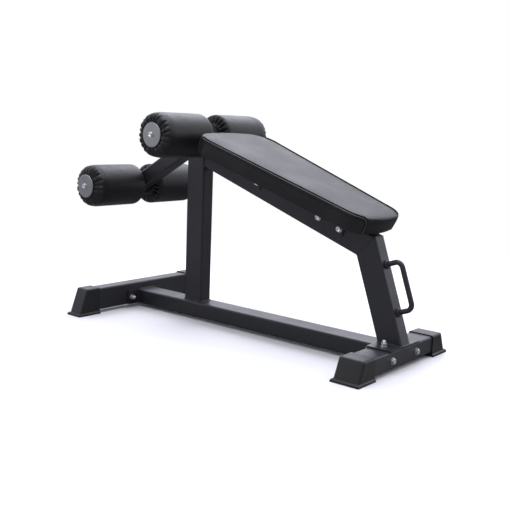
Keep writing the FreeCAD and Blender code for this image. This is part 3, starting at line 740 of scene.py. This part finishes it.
def spread(piece, move, pinned, rounds):
    """Even out the movement of neighbouring points, which irons out wrinkles."""
    ends = np.zeros(len(piece.data.edges) * 2, dtype=int)
    piece.data.edges.foreach_get("vertices", ends)
    ends = ends.reshape(-1, 2)
    first = np.concatenate((ends[:, 0], ends[:, 1]))
    second = np.concatenate((ends[:, 1], ends[:, 0]))
    degree = np.maximum(np.bincount(first, minlength=len(move)), 1)[:, None]
    for _ in range(rounds):
        total = np.zeros_like(move)
        np.add.at(total, first, move[second])
        move = 0.5 * move + 0.5 * total / degree
        move[pinned] = 0.0
    return move


def inflate(piece, pinned, cap, rounds):
    """Swell a closed cover with cloth pressure; no point moves further than cap."""
    group = piece.vertex_groups.new(name="held")
    group.add(pinned, 1.0, "REPLACE")
    before = mesh_points(piece.data)
    cloth = piece.modifiers.new("swell", "CLOTH")
    for key, value in CLOTH_SETTINGS.items():
        setattr(cloth.settings, key, value)
    cloth.settings.effector_weights.gravity = 0.0
    cloth.collision_settings.use_collision = False
    cloth.point_cache.frame_start = 1
    cloth.point_cache.frame_end = CLOTH_FRAMES
    scene = bpy.context.scene
    for number in range(1, CLOTH_FRAMES + 1):
        scene.frame_set(number)
    swollen = piece.evaluated_get(bpy.context.evaluated_depsgraph_get())
    after = mesh_points(swollen.to_mesh())
    swollen.to_mesh_clear()
    piece.modifiers.remove(cloth)
    piece.vertex_groups.remove(group)
    scene.frame_set(1)
    move = spread(piece, after - before, pinned, rounds)
    length = np.linalg.norm(move, axis=1)
    share = cap * np.tanh(length / cap) / np.maximum(length, 1e-9)
    piece.data.vertices.foreach_set("co", (before + move * share[:, None]).ravel())


def subdivided(piece):
    """Apply one Catmull-Clark subdivision to a piece."""
    modifier = piece.modifiers.new("smooth", "SUBSURF")
    modifier.levels = 1
    graph = bpy.context.evaluated_depsgraph_get()
    mesh = bpy.data.meshes.new_from_object(piece.evaluated_get(graph))
    piece.modifiers.remove(modifier)
    piece.data = mesh
    mesh.shade_smooth()


def pad_cover():
    """The pad's cover, swollen by its foam, flat under the board and held along its seams."""
    along, across = PAD_GRID
    points, hem, top, wall, loops = capped(pad_profile(), gathered_ring)
    faces = flipped(hem) + top + wall
    seam = loops[SEAM_LOOP]
    fixed = [index for index, point in enumerate(points) if point.z < PAD_BOARD_TOP]
    fixed += seam[across : across + along] + seam[2 * across + along :]
    piece = new_piece("pad_upholstery", points, faces, PAD_LEATHER, "pad_cover")
    consistent_normals(piece)
    inflate(piece, fixed, PAD_SWELL_CAP, rounds=12)
    subdivided(piece)
    piece.data.transform(PAD.matrix)
    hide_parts("pad_cover", "pad_foam")
    return piece


SEAM_DROP = 3.2 * MM
SEAM_TURN = 30 * MM
SEAM_GROOVE = 4.2 * MM
SEAM_POINTS = 400
SEAM_END_POINTS = 20
SEAM_START = 2 * MM
SEAT_STEP = 2.0 * MM
SEAT_BLUR = 4
# (offset, height) in millimetres round the seam's section; positive towards the pad's middle
SEAM_SECTION = (
    (-8.0, -0.8), (-7.2, 0.2), (-6.6, 0.7), (-6.0, 0.8), (-5.5, 0.6), (-5.2, 0.2),
    (-3.8, 0.1), (-2.6, 0.3), (-2.2, 1.1), (-1.7, 1.8), (-0.8, 2.2), (0.8, 2.2),
    (1.7, 1.8), (2.2, 1.1), (2.4, 0.3), (3.6, 0.2), (5.0, 0.2), (6.1, 0.25),
    (6.5, 0.6), (7.0, 0.6), (7.6, 0.1), (8.4, -1.0), (3.0, -1.6), (-3.0, -1.6),
)
# Material slots of the seam strip: painted shade in the grooves, painted highlight on the raised middle.
SHADED_GROOVE_INDEX, HIGHLIGHT_RIDGE_INDEX = 1, 2
RIDGE_HALF = 2.3
GROOVE_TOP = 0.35
STITCH_PITCH = 4.2 * MM
STITCH_HALF = STITCH_PITCH * 0.38
STITCH_R = 0.38 * MM
STITCH_LIFT = 0.35 * MM
STITCH_SINK = 0.5 * MM
WIRE_SIDES = 6


def seam_guide(side):
    """Seam of one side panel in pad space: up a corner, along the top edge, down a corner."""
    run = divided(pad_outline(0.0, PAD.height)[1 if side > 0 else 3], SEAM_POINTS)
    lengths = arc_lengths(run)
    top = PAD.height - SEAM_DROP
    guide = []
    for point, length in zip(run, lengths):
        turn = max(0.0, 1 - min(length, lengths[-1] - length) / SEAM_TURN)
        height = top - SEAM_TURN * (1 - math.sqrt(max(0.0, 1 - turn * turn)))
        guide.append(Vector((point.x, point.y, height)))
    ends = []
    for point in (guide[0], guide[-1]):
        inward = -math.copysign(1.0, point.x)
        most = PAD_LOW_TUCK if point.x > 0 else PAD_HIGH_TUCK
        end = []
        for height in np.linspace(SEAM_START, point.z, SEAM_END_POINTS)[:-1]:
            tuck = pad_tuck(height, most) - pad_tuck(point.z, most)
            end.append(Vector((point.x + inward * tuck, point.y, height)))
        ends.append(end)
    return ends[0] + guide + ends[1][::-1]


def surface_of(piece):
    """Tree for finding the nearest point on a piece."""
    points = [vertex.co for vertex in piece.data.vertices]
    return BVHTree.FromPolygons(points, [tuple(face.vertices) for face in piece.data.polygons])


def laid_on(path, tree):
    """Path dropped on a surface: points, smoothed surface normals and sideways directions."""
    found = [tree.find_nearest(point) for point in path]
    places = [item[0] for item in found]
    result = []
    for index, ahead in enumerate(directions(places, closed=False)):
        near = found[max(0, index - SEAT_BLUR) : index + SEAT_BLUR + 1]
        normal = sum((item[1] for item in near), Vector()).normalized()
        result.append((places[index], normal, normal.cross(ahead).normalized()))
    return result


def seam_strip(name, seats):
    """Felled seam along a laid path: a raised middle between two sewn grooves, with painted shade in the
    grooves and a painted highlight on the middle.
    """
    points = []
    for place, normal, across in seats:
        for offset, height in SEAM_SECTION:
            points.append(place + across * offset * MM + normal * height * MM)
    columns = len(SEAM_SECTION)
    faces = grid_faces(len(seats), columns, close_columns=True)
    walls = len(faces)
    faces += end_caps(len(seats), columns)
    piece = new_piece(name, points, faces, PAD_LEATHER, "pad_cover")
    # Extra slots: a darker copy as painted shade in the grooves, a lighter copy as painted highlight on
    # the raised middle.
    piece.data.materials.append(SEAM_SHADOW)
    piece.data.materials.append(SEAM_RIDGE_PAINTED_HIGHLIGHT)
    for face in piece.data.polygons[:walls]:
        start = SEAM_SECTION[face.index % columns]
        end = SEAM_SECTION[(face.index + 1) % columns]
        # raised middle faces: the lighter copy, as painted highlight
        if max(abs(start[0]), abs(end[0])) < RIDGE_HALF:
            face.material_index = HIGHLIGHT_RIDGE_INDEX
        # groove faces: the darker copy, as painted shade
        elif 0 < max(start[1], end[1]) < GROOVE_TOP:
            face.material_index = SHADED_GROOVE_INDEX
    consistent_normals(piece)


def stitches(name, seats, offset):
    """Row of separate thread stitches beside a laid path."""
    places = [place + across * offset + normal * STITCH_LIFT for place, normal, across in seats]
    lengths = arc_lengths(places)
    parts = []
    index = 0
    for number in range(int(lengths[-1] / STITCH_PITCH)):
        middle = (number + 0.5) * STITCH_PITCH
        while index < len(lengths) - 2 and lengths[index + 1] < middle:
            index += 1
        tangent = (places[index + 1] - places[index]).normalized()
        centre = places[index] + tangent * (middle - lengths[index])
        normal = seats[index][1]
        path = []
        radii = []
        for share in (-1.0, -0.5, 0.0, 0.5, 1.0):
            path.append(centre + tangent * STITCH_HALF * share - normal * STITCH_SINK * share * share)
            radii.append(STITCH_R * (1.0 - 0.55 * share**4))
        parts.append(swept(path, radii, WIRE_SIDES, closed=False))
    new_piece(name, *joined(parts), THREAD, "pad_cover")


def pad_seams(cover):
    """The felled seams between the top panel and both side panels, double stitched.

    The rows named outer are on the top panel, and those named inner are on the side panel.
    """
    tree = surface_of(cover)
    for side_name, side in SIDES:
        path = [PAD.matrix @ point for point in seam_guide(side)]
        seats = laid_on(resampled(path, SEAT_STEP, closed=False), tree)
        seam_strip(f"pad_seam_{side_name}", seats)
        stitches(f"pad_stitches_{side_name}_inner", seats, -SEAM_GROOVE)
        stitches(f"pad_stitches_{side_name}_outer", seats, SEAM_GROOVE)


SHEET_INSET = 27 * MM
SHEET_RISE_INSET = 44 * MM
SHEET_LOW = -0.7 * MM
SHEET_UNDER = 0.15 * MM
SHEET_OVER = 1.6 * MM
RIPPLE_IN_MM = 0.05
STAPLE_INSET = 31 * MM
STAPLE_PITCH = 36 * MM
STAPLE_HALF = 4.5 * MM
STAPLE_R = 0.45 * MM
STAPLE_SKEW = 0.35
# (place along its half length, height in millimetres) of a staple's wire
STAPLE_WIRE = ((-1, 0.8), (-1, -0.6), (-0.8, -1.1), (0.8, -1.1), (1, -0.6), (1, 0.8))


def dust_sheet():
    """Black spun-bonded sheet stapled over the board and the edge of the hem."""
    sections = (
        (SHEET_RISE_INSET, SHEET_OVER),
        (SHEET_INSET + 1.0 * MM, SHEET_OVER - 1.0 * MM),
        (SHEET_INSET, 0.5 * (SHEET_LOW + SHEET_UNDER)),
        (SHEET_INSET + 1.0 * MM, SHEET_LOW),
        (SHEET_INSET + 9.0 * MM, SHEET_LOW),
        (SHEET_RISE_INSET, SHEET_UNDER),
    )
    points, over, under, wall, _ = capped(sections, pad_ring)
    rng = random.Random(3)
    ripples = [rng.uniform(-RIPPLE_IN_MM, RIPPLE_IN_MM) * MM for _ in points]
    points = [PAD.matrix @ (point + Vector((0, 0, dz))) for point, dz in zip(points, ripples)]
    faces = over + flipped(under) + wall
    consistent_normals(new_piece("pad_dust_sheet", points, faces, SHEET, "pad_cover"))


def staples():
    """Row of staples through the dust sheet and the hem, all round."""
    rng = random.Random(5)
    ring = resampled(pad_ring(STAPLE_INSET, 0.0), STAPLE_PITCH, closed=True)
    parts = []
    for centre, along in zip(ring, directions(ring, closed=True)):
        along = Matrix.Rotation(rng.uniform(-STAPLE_SKEW, STAPLE_SKEW), 3, "Z") @ along.normalized()
        path = []
        for place, height in STAPLE_WIRE:
            path.append(centre + along * place * STAPLE_HALF + Vector((0, 0, height * MM)))
        parts.append(swept(path, [STAPLE_R] * len(path), WIRE_SIDES, closed=False))
    points, faces = joined(parts)
    points = [PAD.matrix @ point for point in points]
    new_piece("pad_staples", points, faces, ZINC, "zinc_fastener")


# ---- fasteners ----------------------------------------------------------------------------

# (shank radius, across flats, head height, thread pitch, length of thread)
M12 = (6.0 * MM, 18.0 * MM, 7.5 * MM, 1.75 * MM, 24 * MM)
M10 = (5.0 * MM, 17.0 * MM, 6.4 * MM, 1.5 * MM, 0.0)
M8 = (4.0 * MM, 13.0 * MM, 5.3 * MM, 1.25 * MM, 0.0)
HEX_SEGMENTS = 48
HEX_ROWS = 11
FACE_SHARE = 0.475
CHAMFER_STEPS = 5
THREAD_STEPS = 8
THREAD_RUN_IN = 12
THREAD_DEPTH = 0.55
AXIS_R = 1e-5
SHARP_ANGLE = math.radians(32)
DOWN_FROM_PAD = Vector((-math.sin(BEAM_SLOPE), 0.0, -math.cos(BEAM_SLOPE)))
# Size and outward direction of the heads; the axle ends' bolts point to their own side
BOLT_NODES = {
    "front_foot_bolts": (M12, Vector((-1, 0, 0))),
    "rear_foot_bolts": (M12, Vector((1, 0, 0))),
    "leg_plate_bolts": (M12, Vector((0, 0, -1))),
    "bracket_bolts": (M12, Vector((0, -1, 0))),
    "pad_bolts": (M8, DOWN_FROM_PAD),
    "axle_end_bolts": (M10, None),
}


def islands(name):
    """The separate solids of a CAD node, as arrays of points."""
    points = node_points(name)
    _, label = np.unique(np.round(points / 1e-6).astype(int), axis=0, return_inverse=True)
    label = label.ravel()
    parent = list(range(label.max() + 1))

    def root(item):
        """The label that stands for an item's solid."""
        while parent[item] != item:
            parent[item] = parent[parent[item]]
            item = parent[item]
        return item

    for edge in NODES[name].data.edges:
        first, second = (root(label[index]) for index in edge.vertices)
        parent[second] = first
    roots = np.array([root(item) for item in label])
    return [points[roots == item] for item in sorted(set(roots))]


def axis_frame(points, direction):
    """Placement of a fastener: Z along its direction, its origin on its axis; and its Z range."""
    direction = direction.normalized()
    across = direction.orthogonal().normalized()
    turn = Matrix((across, direction.cross(across), direction))
    local = points @ np.array(turn).T
    low, high = local.min(0), local.max(0)
    centre = turn.transposed() @ Vector(((low[0] + high[0]) / 2, (low[1] + high[1]) / 2, 0.0))
    return Matrix.Translation(centre) @ turn.transposed().to_4x4(), low[2], high[2]


def lathe(rows, place, across_flats=None):
    """Grid of points about Z: rows of (radius, height, thread depth, pitch), cut to a hexagon."""
    sector = math.pi / 3
    points = []
    for radius, height, depth, pitch in rows:
        for index in range(HEX_SEGMENTS):
            angle = math.tau * index / HEX_SEGMENTS
            reach = radius
            if across_flats:
                away = (angle % sector) - sector / 2
                reach = min(reach, across_flats / 2 / math.cos(away))
            if depth:
                phase = (height / pitch + angle / math.tau) % 1.0
                reach -= depth * abs(2 * phase - 1)
            points.append(place @ Vector((reach * math.cos(angle), reach * math.sin(angle), height)))
    return points


def plain_rows(pairs):
    """Rows for lathe without a thread, from (radius, height) pairs."""
    return [(radius, height, 0.0, 1.0) for radius, height in pairs]


def chamfer(face, corner, depth):
    """(radius, fall) steps of a hexagon's rounded corners, from its face outwards."""
    shares = [step / CHAMFER_STEPS for step in range(1, CHAMFER_STEPS + 1)]
    return [(face + (corner - face) * share, depth * share**1.4) for share in shares]


def bolt_skin(size, length, place):
    """Hex head with a dished top, and a shank with a cut thread at its end."""
    shank, flats, head, pitch, threaded = size
    corner = flats / math.sqrt(3)
    face = flats * FACE_SHARE
    top = [
        (AXIS_R, head - 0.4 * MM),
        (face * 0.70, head - 0.4 * MM),
        (face * 0.80, head - 0.05 * MM),
        (face * 0.86, head),
        (face, head),
    ]
    top += [(radius, head - fall) for radius, fall in chamfer(face, corner + 0.05 * MM, 1.6 * MM)]
    top += [(corner * 1.01, 0.7 * MM), (corner * 1.01, 0.45 * MM)]
    top += [(face, 0.4 * MM), (face, 0.0), (shank * 1.02, 0.0), (shank, -0.5 * MM)]
    rows = plain_rows(top)
    if threaded:
        start = threaded - length
        depth = THREAD_DEPTH * pitch
        rows += plain_rows([(shank, start + pitch)])
        count = int(threaded / pitch * THREAD_STEPS)
        for step in range(count):
            height = start - (threaded - 0.8 * MM) * step / count
            rows.append((shank, height, depth * min(1.0, step / THREAD_RUN_IN), pitch))
        rows += plain_rows([(shank - depth, 0.4 * MM - length)])
    else:
        rows += plain_rows([(shank, 0.8 * MM - length)])
    rows += plain_rows([(shank * 0.8, -length), (AXIS_R, -length)])
    points = lathe(rows[:HEX_ROWS], place, flats) + lathe(rows[HEX_ROWS:], place)
    return points, grid_faces(len(rows), HEX_SEGMENTS, close_columns=True)


def nut_skin(size, height, place):
    """Hex nut, chamfered at both ends and countersunk at its bore."""
    shank, flats = size[:2]
    face = flats * FACE_SHARE
    bore = shank + 0.02 * MM
    lead = 0.9 * MM
    half = [(bore, lead), (bore + lead, 0.0), (face, 0.0)]
    half += chamfer(face, flats / math.sqrt(3) * 1.01, 1.5 * MM)
    rows = plain_rows(half + [(radius, height - z) for radius, z in half[::-1]])
    faces = grid_faces(len(rows), HEX_SEGMENTS, close_rows=True, close_columns=True)
    return lathe(rows, place, flats), faces


def turned_piece(node, parts):
    """Fastener piece with crisp edges that stands in for a CAD node."""
    piece = new_piece(f"{node}_turned", *joined(parts), ZINC, "zinc_fastener")
    consistent_normals(piece)
    piece.data.shade_smooth()
    piece.data.set_sharp_from_angle(angle=SHARP_ANGLE)
    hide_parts(node)


def fasteners():
    """Detailed bolts and nuts in the places of the plain CAD ones."""
    lines = []
    for node, (size, direction) in BOLT_NODES.items():
        parts = []
        for solid in islands(node):
            out = direction or Vector((0, math.copysign(1.0, solid[:, 1].mean()), 0))
            place, low, high = axis_frame(solid, out)
            seat = high - size[2]
            place = place @ Matrix.Translation((0, 0, seat))
            lines.append((place.translation.copy(), out, size))
            parts.append(bolt_skin(size, seat - low, place))
        turned_piece(node, parts)
    parts = []
    for solid in islands("frame_nuts"):
        centre = Vector(solid.mean(0))
        _, out, size = min(lines, key=lambda item: (centre - item[0]).cross(item[1]).length)
        place, low, high = axis_frame(solid, out)
        parts.append(nut_skin(size, high - low, place @ Matrix.Translation((0, 0, low))))
    turned_piece("frame_nuts", parts)


# ---- leg rollers --------------------------------------------------------------------------

COVER_LOW, COVER_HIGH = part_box("upper_left_roller_cover")
ROLLER_R = (COVER_HIGH.x - COVER_LOW.x) / 2
ROLLER_HALF = (COVER_HIGH.y - COVER_LOW.y) / 2
ROLLER_TURN = 1.9
PLEATS = 22
PLEAT_SEGMENTS = 18
ROLLER_SEGMENTS = PLEATS * PLEAT_SEGMENTS
FACE_STEPS = 12
ARC_STEPS = 16
BODY_STEPS = 40
SHOULDER = 24 * MM
BORE_R = 24 * MM
GRIP_R = 46 * MM
PLEAT_DEPTH = 6.5 * MM
ROLLER_SWELL_CAP = 2.5 * MM
ROLLER_SHRINK = 0.6 * MM
OUTER_PUFF = 6.0 * MM
INNER_PUFF = -2.0 * MM
DRUM_SWELL = 3.0 * MM
UNEVENNESS = 0.5 * MM
HELD_DIP = 0.55
LOWER_SLACK = 0.85
LOWER_SET_BACK = 8.0 * MM


def roller_profile():
    """(radius, reach, outward radius, outward reach) along a cover's section, end to end."""
    core = ROLLER_R - SHOULDER
    last = ROLLER_HALF - SHOULDER
    end = []
    for index in range(FACE_STEPS):
        end.append((BORE_R + (core - BORE_R) * index / FACE_STEPS, ROLLER_HALF, 0.0, 1.0))
    for index in range(ARC_STEPS + 1):
        angle = math.pi / 2 * index / ARC_STEPS
        sine, cosine = math.sin(angle), math.cos(angle)
        end.append((core + SHOULDER * sine, ROLLER_HALF - SHOULDER * (1 - cosine), sine, cosine))
    body = [(ROLLER_R, last - 2 * last * index / BODY_STEPS, 1.0, 0.0) for index in range(1, BODY_STEPS)]
    return end + body + [(radius, -reach, out_r, -out_y) for radius, reach, out_r, out_y in end[::-1]]


def pleat_share(radius, reach):
    """How strongly the gathers show: nothing under the disc and nothing on the drum's body."""
    grip = smooth_step((radius - GRIP_R + 2 * MM) / (7 * MM))
    from_end = ROLLER_HALF - abs(reach)
    return grip * (1.0 - smooth_step((from_end - 2 * MM) / (15 * MM)))


def end_puff(radius, reach):
    """How far the foam bulges out of an end around its disc; the outer end is at +reach."""
    most = OUTER_PUFF if reach > 0 else INNER_PUFF
    share = (radius - GRIP_R + 3 * MM) / (ROLLER_R - GRIP_R + 3 * MM)
    if abs(reach) < ROLLER_HALF - SHOULDER or share <= 0:
        return 0.0
    return most * math.sin(math.pi * min(1.0, share)) ** 0.8


def drum_swell(reach):
    """How far the foam fills out the cover along the drum, away from its gathered ends."""
    start, rise = (12 * MM, 28 * MM) if reach > 0 else (3 * MM, 13 * MM)
    return DRUM_SWELL * smooth_step((ROLLER_HALF - abs(reach) - start) / rise)


def set_back(radius, reach):
    """How far a slacker cover's outer end slopes back behind the plump one's."""
    rim = smooth_step((radius - GRIP_R) / (ROLLER_R - GRIP_R))
    body = smooth_step((ROLLER_HALF - abs(reach) - SHOULDER) / (40 * MM))
    slope = LOWER_SET_BACK * rim * (1 - body) if reach > 0 else 0.0
    return LOWER_SLACK * max(0.0, end_puff(radius, reach)) + slope


def pleat_table(rng):
    """Angle, depth, width and reach of each gather, a little uneven."""
    table = []
    for number in range(PLEATS):
        angle = math.tau * (number + rng.uniform(-0.2, 0.2)) / PLEATS
        table.append((angle, rng.uniform(0.7, 1.15), rng.uniform(0.14, 0.2), rng.uniform(-0.06, 0.06)))
    return table


def pleat_dip(angle, table, outwards):
    """Depth of the gathers at an angle, 0 on a lobe's crown and about 1 in a crease.

    The creases open towards the disc, where outwards is greatest.
    """
    dip = 0.0
    for centre, depth, width, slant in table:
        away = (angle - centre - slant * outwards + math.pi) % math.tau - math.pi
        share = abs(away) / (math.tau / PLEATS)
        if share < 0.7:
            opening = width * (1 + 0.6 * outwards)
            dip = max(dip, depth * math.exp(-((share / opening) ** 1.5)))
    return dip


def roller_skin():
    """Gathered cover about the Y axis: a smooth drum with puckered ends, swollen by its foam.

    Returns its points, its faces and how far a slacker cover is set back at each point.
    """
    rng = random.Random(7)
    tables = (pleat_table(rng), pleat_table(rng))
    profile = roller_profile()
    points = []
    held = []
    for radius, reach, out_r, out_y in profile:
        share = pleat_share(radius, reach)
        outwards = (ROLLER_R - radius) / SHOULDER
        swell = end_puff(radius, reach) + drum_swell(reach) - ROLLER_SHRINK
        for index in range(ROLLER_SEGMENTS):
            angle = math.tau * index / ROLLER_SEGMENTS
            cosine, sine = math.cos(angle), math.sin(angle)
            dip = pleat_dip(angle, tables[reach > 0], outwards) if share > 0 else 0.0
            lift = swell - share * PLEAT_DEPTH * dip
            lift += UNEVENNESS * out_r * noise.noise((3 * cosine, 3 * sine, 22 * reach))
            if radius < GRIP_R or share * dip > HELD_DIP:
                held.append(len(points))
            across = radius + lift * out_r
            points.append(Vector((across * cosine, reach + lift * out_y, across * sine)))
    faces = grid_faces(len(profile), ROLLER_SEGMENTS, close_rows=True, close_columns=True)
    skin = mesh_object("roller_skin", points, faces)
    mesh = skin.data
    consistent_normals(skin)
    inflate(skin, held, ROLLER_SWELL_CAP, rounds=3)
    shape = mesh_points(mesh)
    bpy.data.objects.remove(skin)
    bpy.data.meshes.remove(mesh)
    slack = [set_back(radius, reach) for radius, reach, _, _ in profile]
    return shape, faces, np.repeat(slack, ROLLER_SEGMENTS)


def roller_covers():
    """The four rollers' covers: one sewn shape, turned and flipped differently each time."""
    plump, faces, slack = roller_skin()
    slacker = plump.copy()
    slacker[:, 1] -= slack * np.sign(plump[:, 1])
    turn = 0.0
    for level, shape in (("upper", plump), ("lower", slacker)):
        for side_name, side in SIDES:
            name = f"{level}_{side_name}_roller"
            turn += ROLLER_TURN
            place = Matrix.Diagonal((1, side, 1)) @ Matrix.Rotation(turn, 3, "Y")
            centre = sum(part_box(f"{name}_cover"), Vector()) / 2
            points = shape @ np.array(place).T + np.array(centre)
            piece = new_piece(f"{name}_skin", points, faces, ROLLER_LEATHER, "roller_cover", name)
            consistent_normals(piece)
            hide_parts(f"{name}_cover", f"{name}_foam")


# ---- welds --------------------------------------------------------------------------------

BEAD_STEP = 0.9 * MM
BEAD_RIPPLE = 2.6 * MM
BEAD_SIDES = 10


def section_loop(node, origin, normal):
    """Outer outline of a CAD node's flat end that lies on a plane, as ordered points."""
    normal = Vector(normal).normalized()
    origin = Vector(origin)
    across = normal.orthogonal().normalized()
    up = normal.cross(across)
    flat = {}
    for point in node_points(node):
        offset = Vector(point) - origin
        if abs(offset.dot(normal)) < 0.2 * MM:
            key = (round(offset.dot(across), 5), round(offset.dot(up), 5))
            flat[key] = origin + across * key[0] + up * key[1]
    keys = sorted(flat)

    def half(points):
        """One half of the convex outline of sorted points."""
        chain = []
        for point in points:
            while len(chain) > 1:
                (ax, ay), (bx, by) = chain[-2:]
                if (bx - ax) * (point[1] - ay) - (by - ay) * (point[0] - ax) > 1e-10:
                    break
                chain.pop()
            chain.append(point)
        return chain[:-1]

    return [flat[key] for key in half(keys) + half(keys[::-1])]


def furthest(node, direction):
    """The point of a CAD node that lies furthest in a direction."""
    points = node_points(node)
    return points[np.argmax(points @ np.array(direction))]


def weld_bead(name, loop, radius, seed):
    """Rippled weld bead round a closed outline."""
    rng = random.Random(seed)
    path = resampled(loop, BEAD_STEP, closed=True)
    radii = []
    for index in range(len(path)):
        ripple = 0.10 * abs(math.sin(index * BEAD_STEP / BEAD_RIPPLE * math.pi))
        radii.append(radius * (0.9 + ripple + rng.uniform(-0.02, 0.02)))
    new_piece(name, *swept(path, radii, BEAD_SIDES, closed=True), POWDER, "frame_paint")


def welds():
    """Beads at every welded joint of the frame."""
    rail_low, rail_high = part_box("base_rail")
    upright_low, upright_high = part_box("front_upright")
    plate_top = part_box("leg_foot_plate")[1].z
    along, up = (1, 0, 0), (0, 0, 1)
    arm_up = Vector((-math.sin(ARM_SLOPE), 0.0, math.cos(ARM_SLOPE)))
    down_beam = Vector((math.cos(BEAM_SLOPE), 0.0, -math.sin(BEAM_SLOPE)))
    down_leg = Vector((math.sin(LEG_LEAN), 0.0, -math.cos(LEG_LEAN)))
    mitre = (down_beam + down_leg).normalized()
    # node whose end is welded, a point of that end, its normal, and the bead's radius
    joints = {
        "upright_foot": ("front_upright", (0, 0, upright_low.z), up, 4.5 * MM),
        "upright_head": ("front_upright", furthest("front_upright", arm_up), arm_up, 3.0 * MM),
        "beam_head": ("seat_beam", (upright_high.x, 0, 0), along, 3.5 * MM),
        "knee": ("seat_beam", furthest("seat_beam", mitre), mitre, 1.3 * MM),
        "leg_foot": ("rear_leg", (0, 0, plate_top), up, 3.5 * MM),
        "rail_front": ("base_rail", (rail_low.x, 0, 0), along, 3.5 * MM),
        "rail_rear": ("base_rail", (rail_high.x, 0, 0), along, 3.5 * MM),
    }
    for seed, (name, (node, origin, normal, radius)) in enumerate(joints.items()):
        weld_bead(f"weld_{name}", section_loop(node, origin, normal), radius, seed)


# ---- stage --------------------------------------------------------------------------------

CAMERA_AZIMUTH = math.radians(39.19)
CAMERA_ELEVATION = math.radians(9.37)
CAMERA_ROLL = math.radians(2.18)
CAMERA_DISTANCE = 3.029
CAMERA_TARGET = Vector((0.0239, 0.0, 0.299))
CAMERA_LENS = 55.74
SENSOR = 36.0
DAYLIGHT = (0.955, 0.965, 1.075, 1.0)
FLOOR_SIZE = 30.0
FLOOR_BOUNCE = 0.30
FLOOR_FADE = (0.9, 3.2)
BRIGHT_SIDE = (-0.40, 0.72, 0.56)
DARK_ROOM = 0.20
BRIGHT_ROOM = 1.55
BACKDROP = 1.0
# (place, aim, width, height, power) in metres and watts
LIGHTS = {
    "softbox": ((-1.3, 2.4, 3.0), (0.0, 0.0, 0.4), 2.6, 2.0, 42.0),
    "overhead": ((0.2, -0.4, 3.6), (0.0, 0.0, 0.4), 2.4, 2.4, 55.0),
    "fill": ((2.6, -3.0, 2.0), (0.0, 0.0, 0.4), 2.4, 1.8, 11.0),
    "kicker": ((-2.3, -2.7, 1.4), (0.0, 0.0, 0.5), 1.0, 1.2, 10.0),
}


def camera():
    """Camera at the viewing angle, rolled a little as a hand-held one."""
    level = math.cos(CAMERA_ELEVATION)
    across, along = math.sin(CAMERA_AZIMUTH) * level, -math.cos(CAMERA_AZIMUTH) * level
    back = Vector((across, along, math.sin(CAMERA_ELEVATION)))
    right = Vector((0, 0, 1)).cross(back).normalized()
    up = back.cross(right)
    cosine, sine = math.cos(CAMERA_ROLL), math.sin(CAMERA_ROLL)
    turn = Matrix((right * cosine + up * sine, up * cosine - right * sine, back)).transposed()
    data = bpy.data.cameras.new("camera")
    data.lens = CAMERA_LENS
    data.sensor_width = SENSOR
    lens = linked("camera", data)
    lens.matrix_world = Matrix.Translation(CAMERA_TARGET + back * CAMERA_DISTANCE) @ turn.to_4x4()
    bpy.context.scene.camera = lens


def area_light(name, place, aim, width, height, power):
    """Soft rectangular light that faces a point."""
    data = bpy.data.lights.new(name, "AREA")
    data.shape = "RECTANGLE"
    data.size = width
    data.size_y = height
    data.energy = power
    data.color = DAYLIGHT[:3]
    light = linked(name, data)
    light.location = place
    light.rotation_euler = (Vector(aim) - Vector(place)).to_track_quat("-Z", "Y").to_euler()


def floor():
    """Plain pale floor, which lights the object's underside only faintly."""
    corners = [(x * FLOOR_SIZE, y * FLOOR_SIZE, 0) for x, y in ((-1, -1), (1, -1), (1, 1), (-1, 1))]
    finish = Finish("pale_floor")
    clouds = finish.noise(0.6, detail=4.0)
    material = finish.made(
        Base_Color=finish.blend(clouds, grey(0.90), grey(0.93)),
        Roughness=finish.between(clouds, 0.3, 0.7, 0.75, 0.9),
        Specular_IOR_Level=0.1,
    )
    behind = finish.between(finish.add("SeparateXYZ", {0: finish.place}, "Y"), -0.2, 0.7)
    bounce = finish.blend(behind, grey(FLOOR_BOUNCE), grey(FLOOR_BOUNCE / 3))
    dim = finish.add("BsdfDiffuse", {"Color": bounce})
    glow = finish.add("Emission", {"Strength": BACKDROP})
    fade = finish.between(finish.vector("LENGTH", finish.place, output="Value"), *FLOOR_FADE)
    pale = finish.mixed(fade, finish.shader.outputs[0], glow)
    finish.surface(finish.mixed(finish.add("LightPath", {}, "Is Camera Ray"), dim, pale))
    ground = mesh_object("floor", corners, [(0, 1, 2, 3)])
    ground.data.materials.append(material)


def sky():
    """Soft surroundings: bright above and behind, dim beside the camera, white as a backdrop."""
    world = bpy.data.worlds.new("studio")
    bpy.context.scene.world = world
    room = Nodes(world)
    room.tree.nodes.clear()
    place = room.add("TexCoord", {}, "Generated")
    facing = room.vector("DOT_PRODUCT", place, BRIGHT_SIDE, "Value")
    strength = room.between(facing, -0.35, 0.95, DARK_ROOM, BRIGHT_ROOM)
    walls = room.add("Background", {"Color": DAYLIGHT, "Strength": strength})
    backdrop = room.add("Background", {"Color": (1, 1, 1, 1), "Strength": BACKDROP})
    shown = room.mixed(room.add("LightPath", {}, "Is Camera Ray"), walls, backdrop)
    room.put(room.tree.nodes.new("ShaderNodeOutputWorld").inputs[0], shown)


def stage():
    """Floor, surroundings, lights, camera and a plain view transform."""
    floor()
    sky()
    for name, settings in LIGHTS.items():
        area_light(name, *settings)
    camera()
    view = bpy.context.scene.view_settings
    view.view_transform = "Standard"
    view.look = "None"


# ---- everything ---------------------------------------------------------------------------

dress_cad_nodes()
pad_seams(pad_cover())
dust_sheet()
staples()
fasteners()
roller_covers()
welds()
stage()
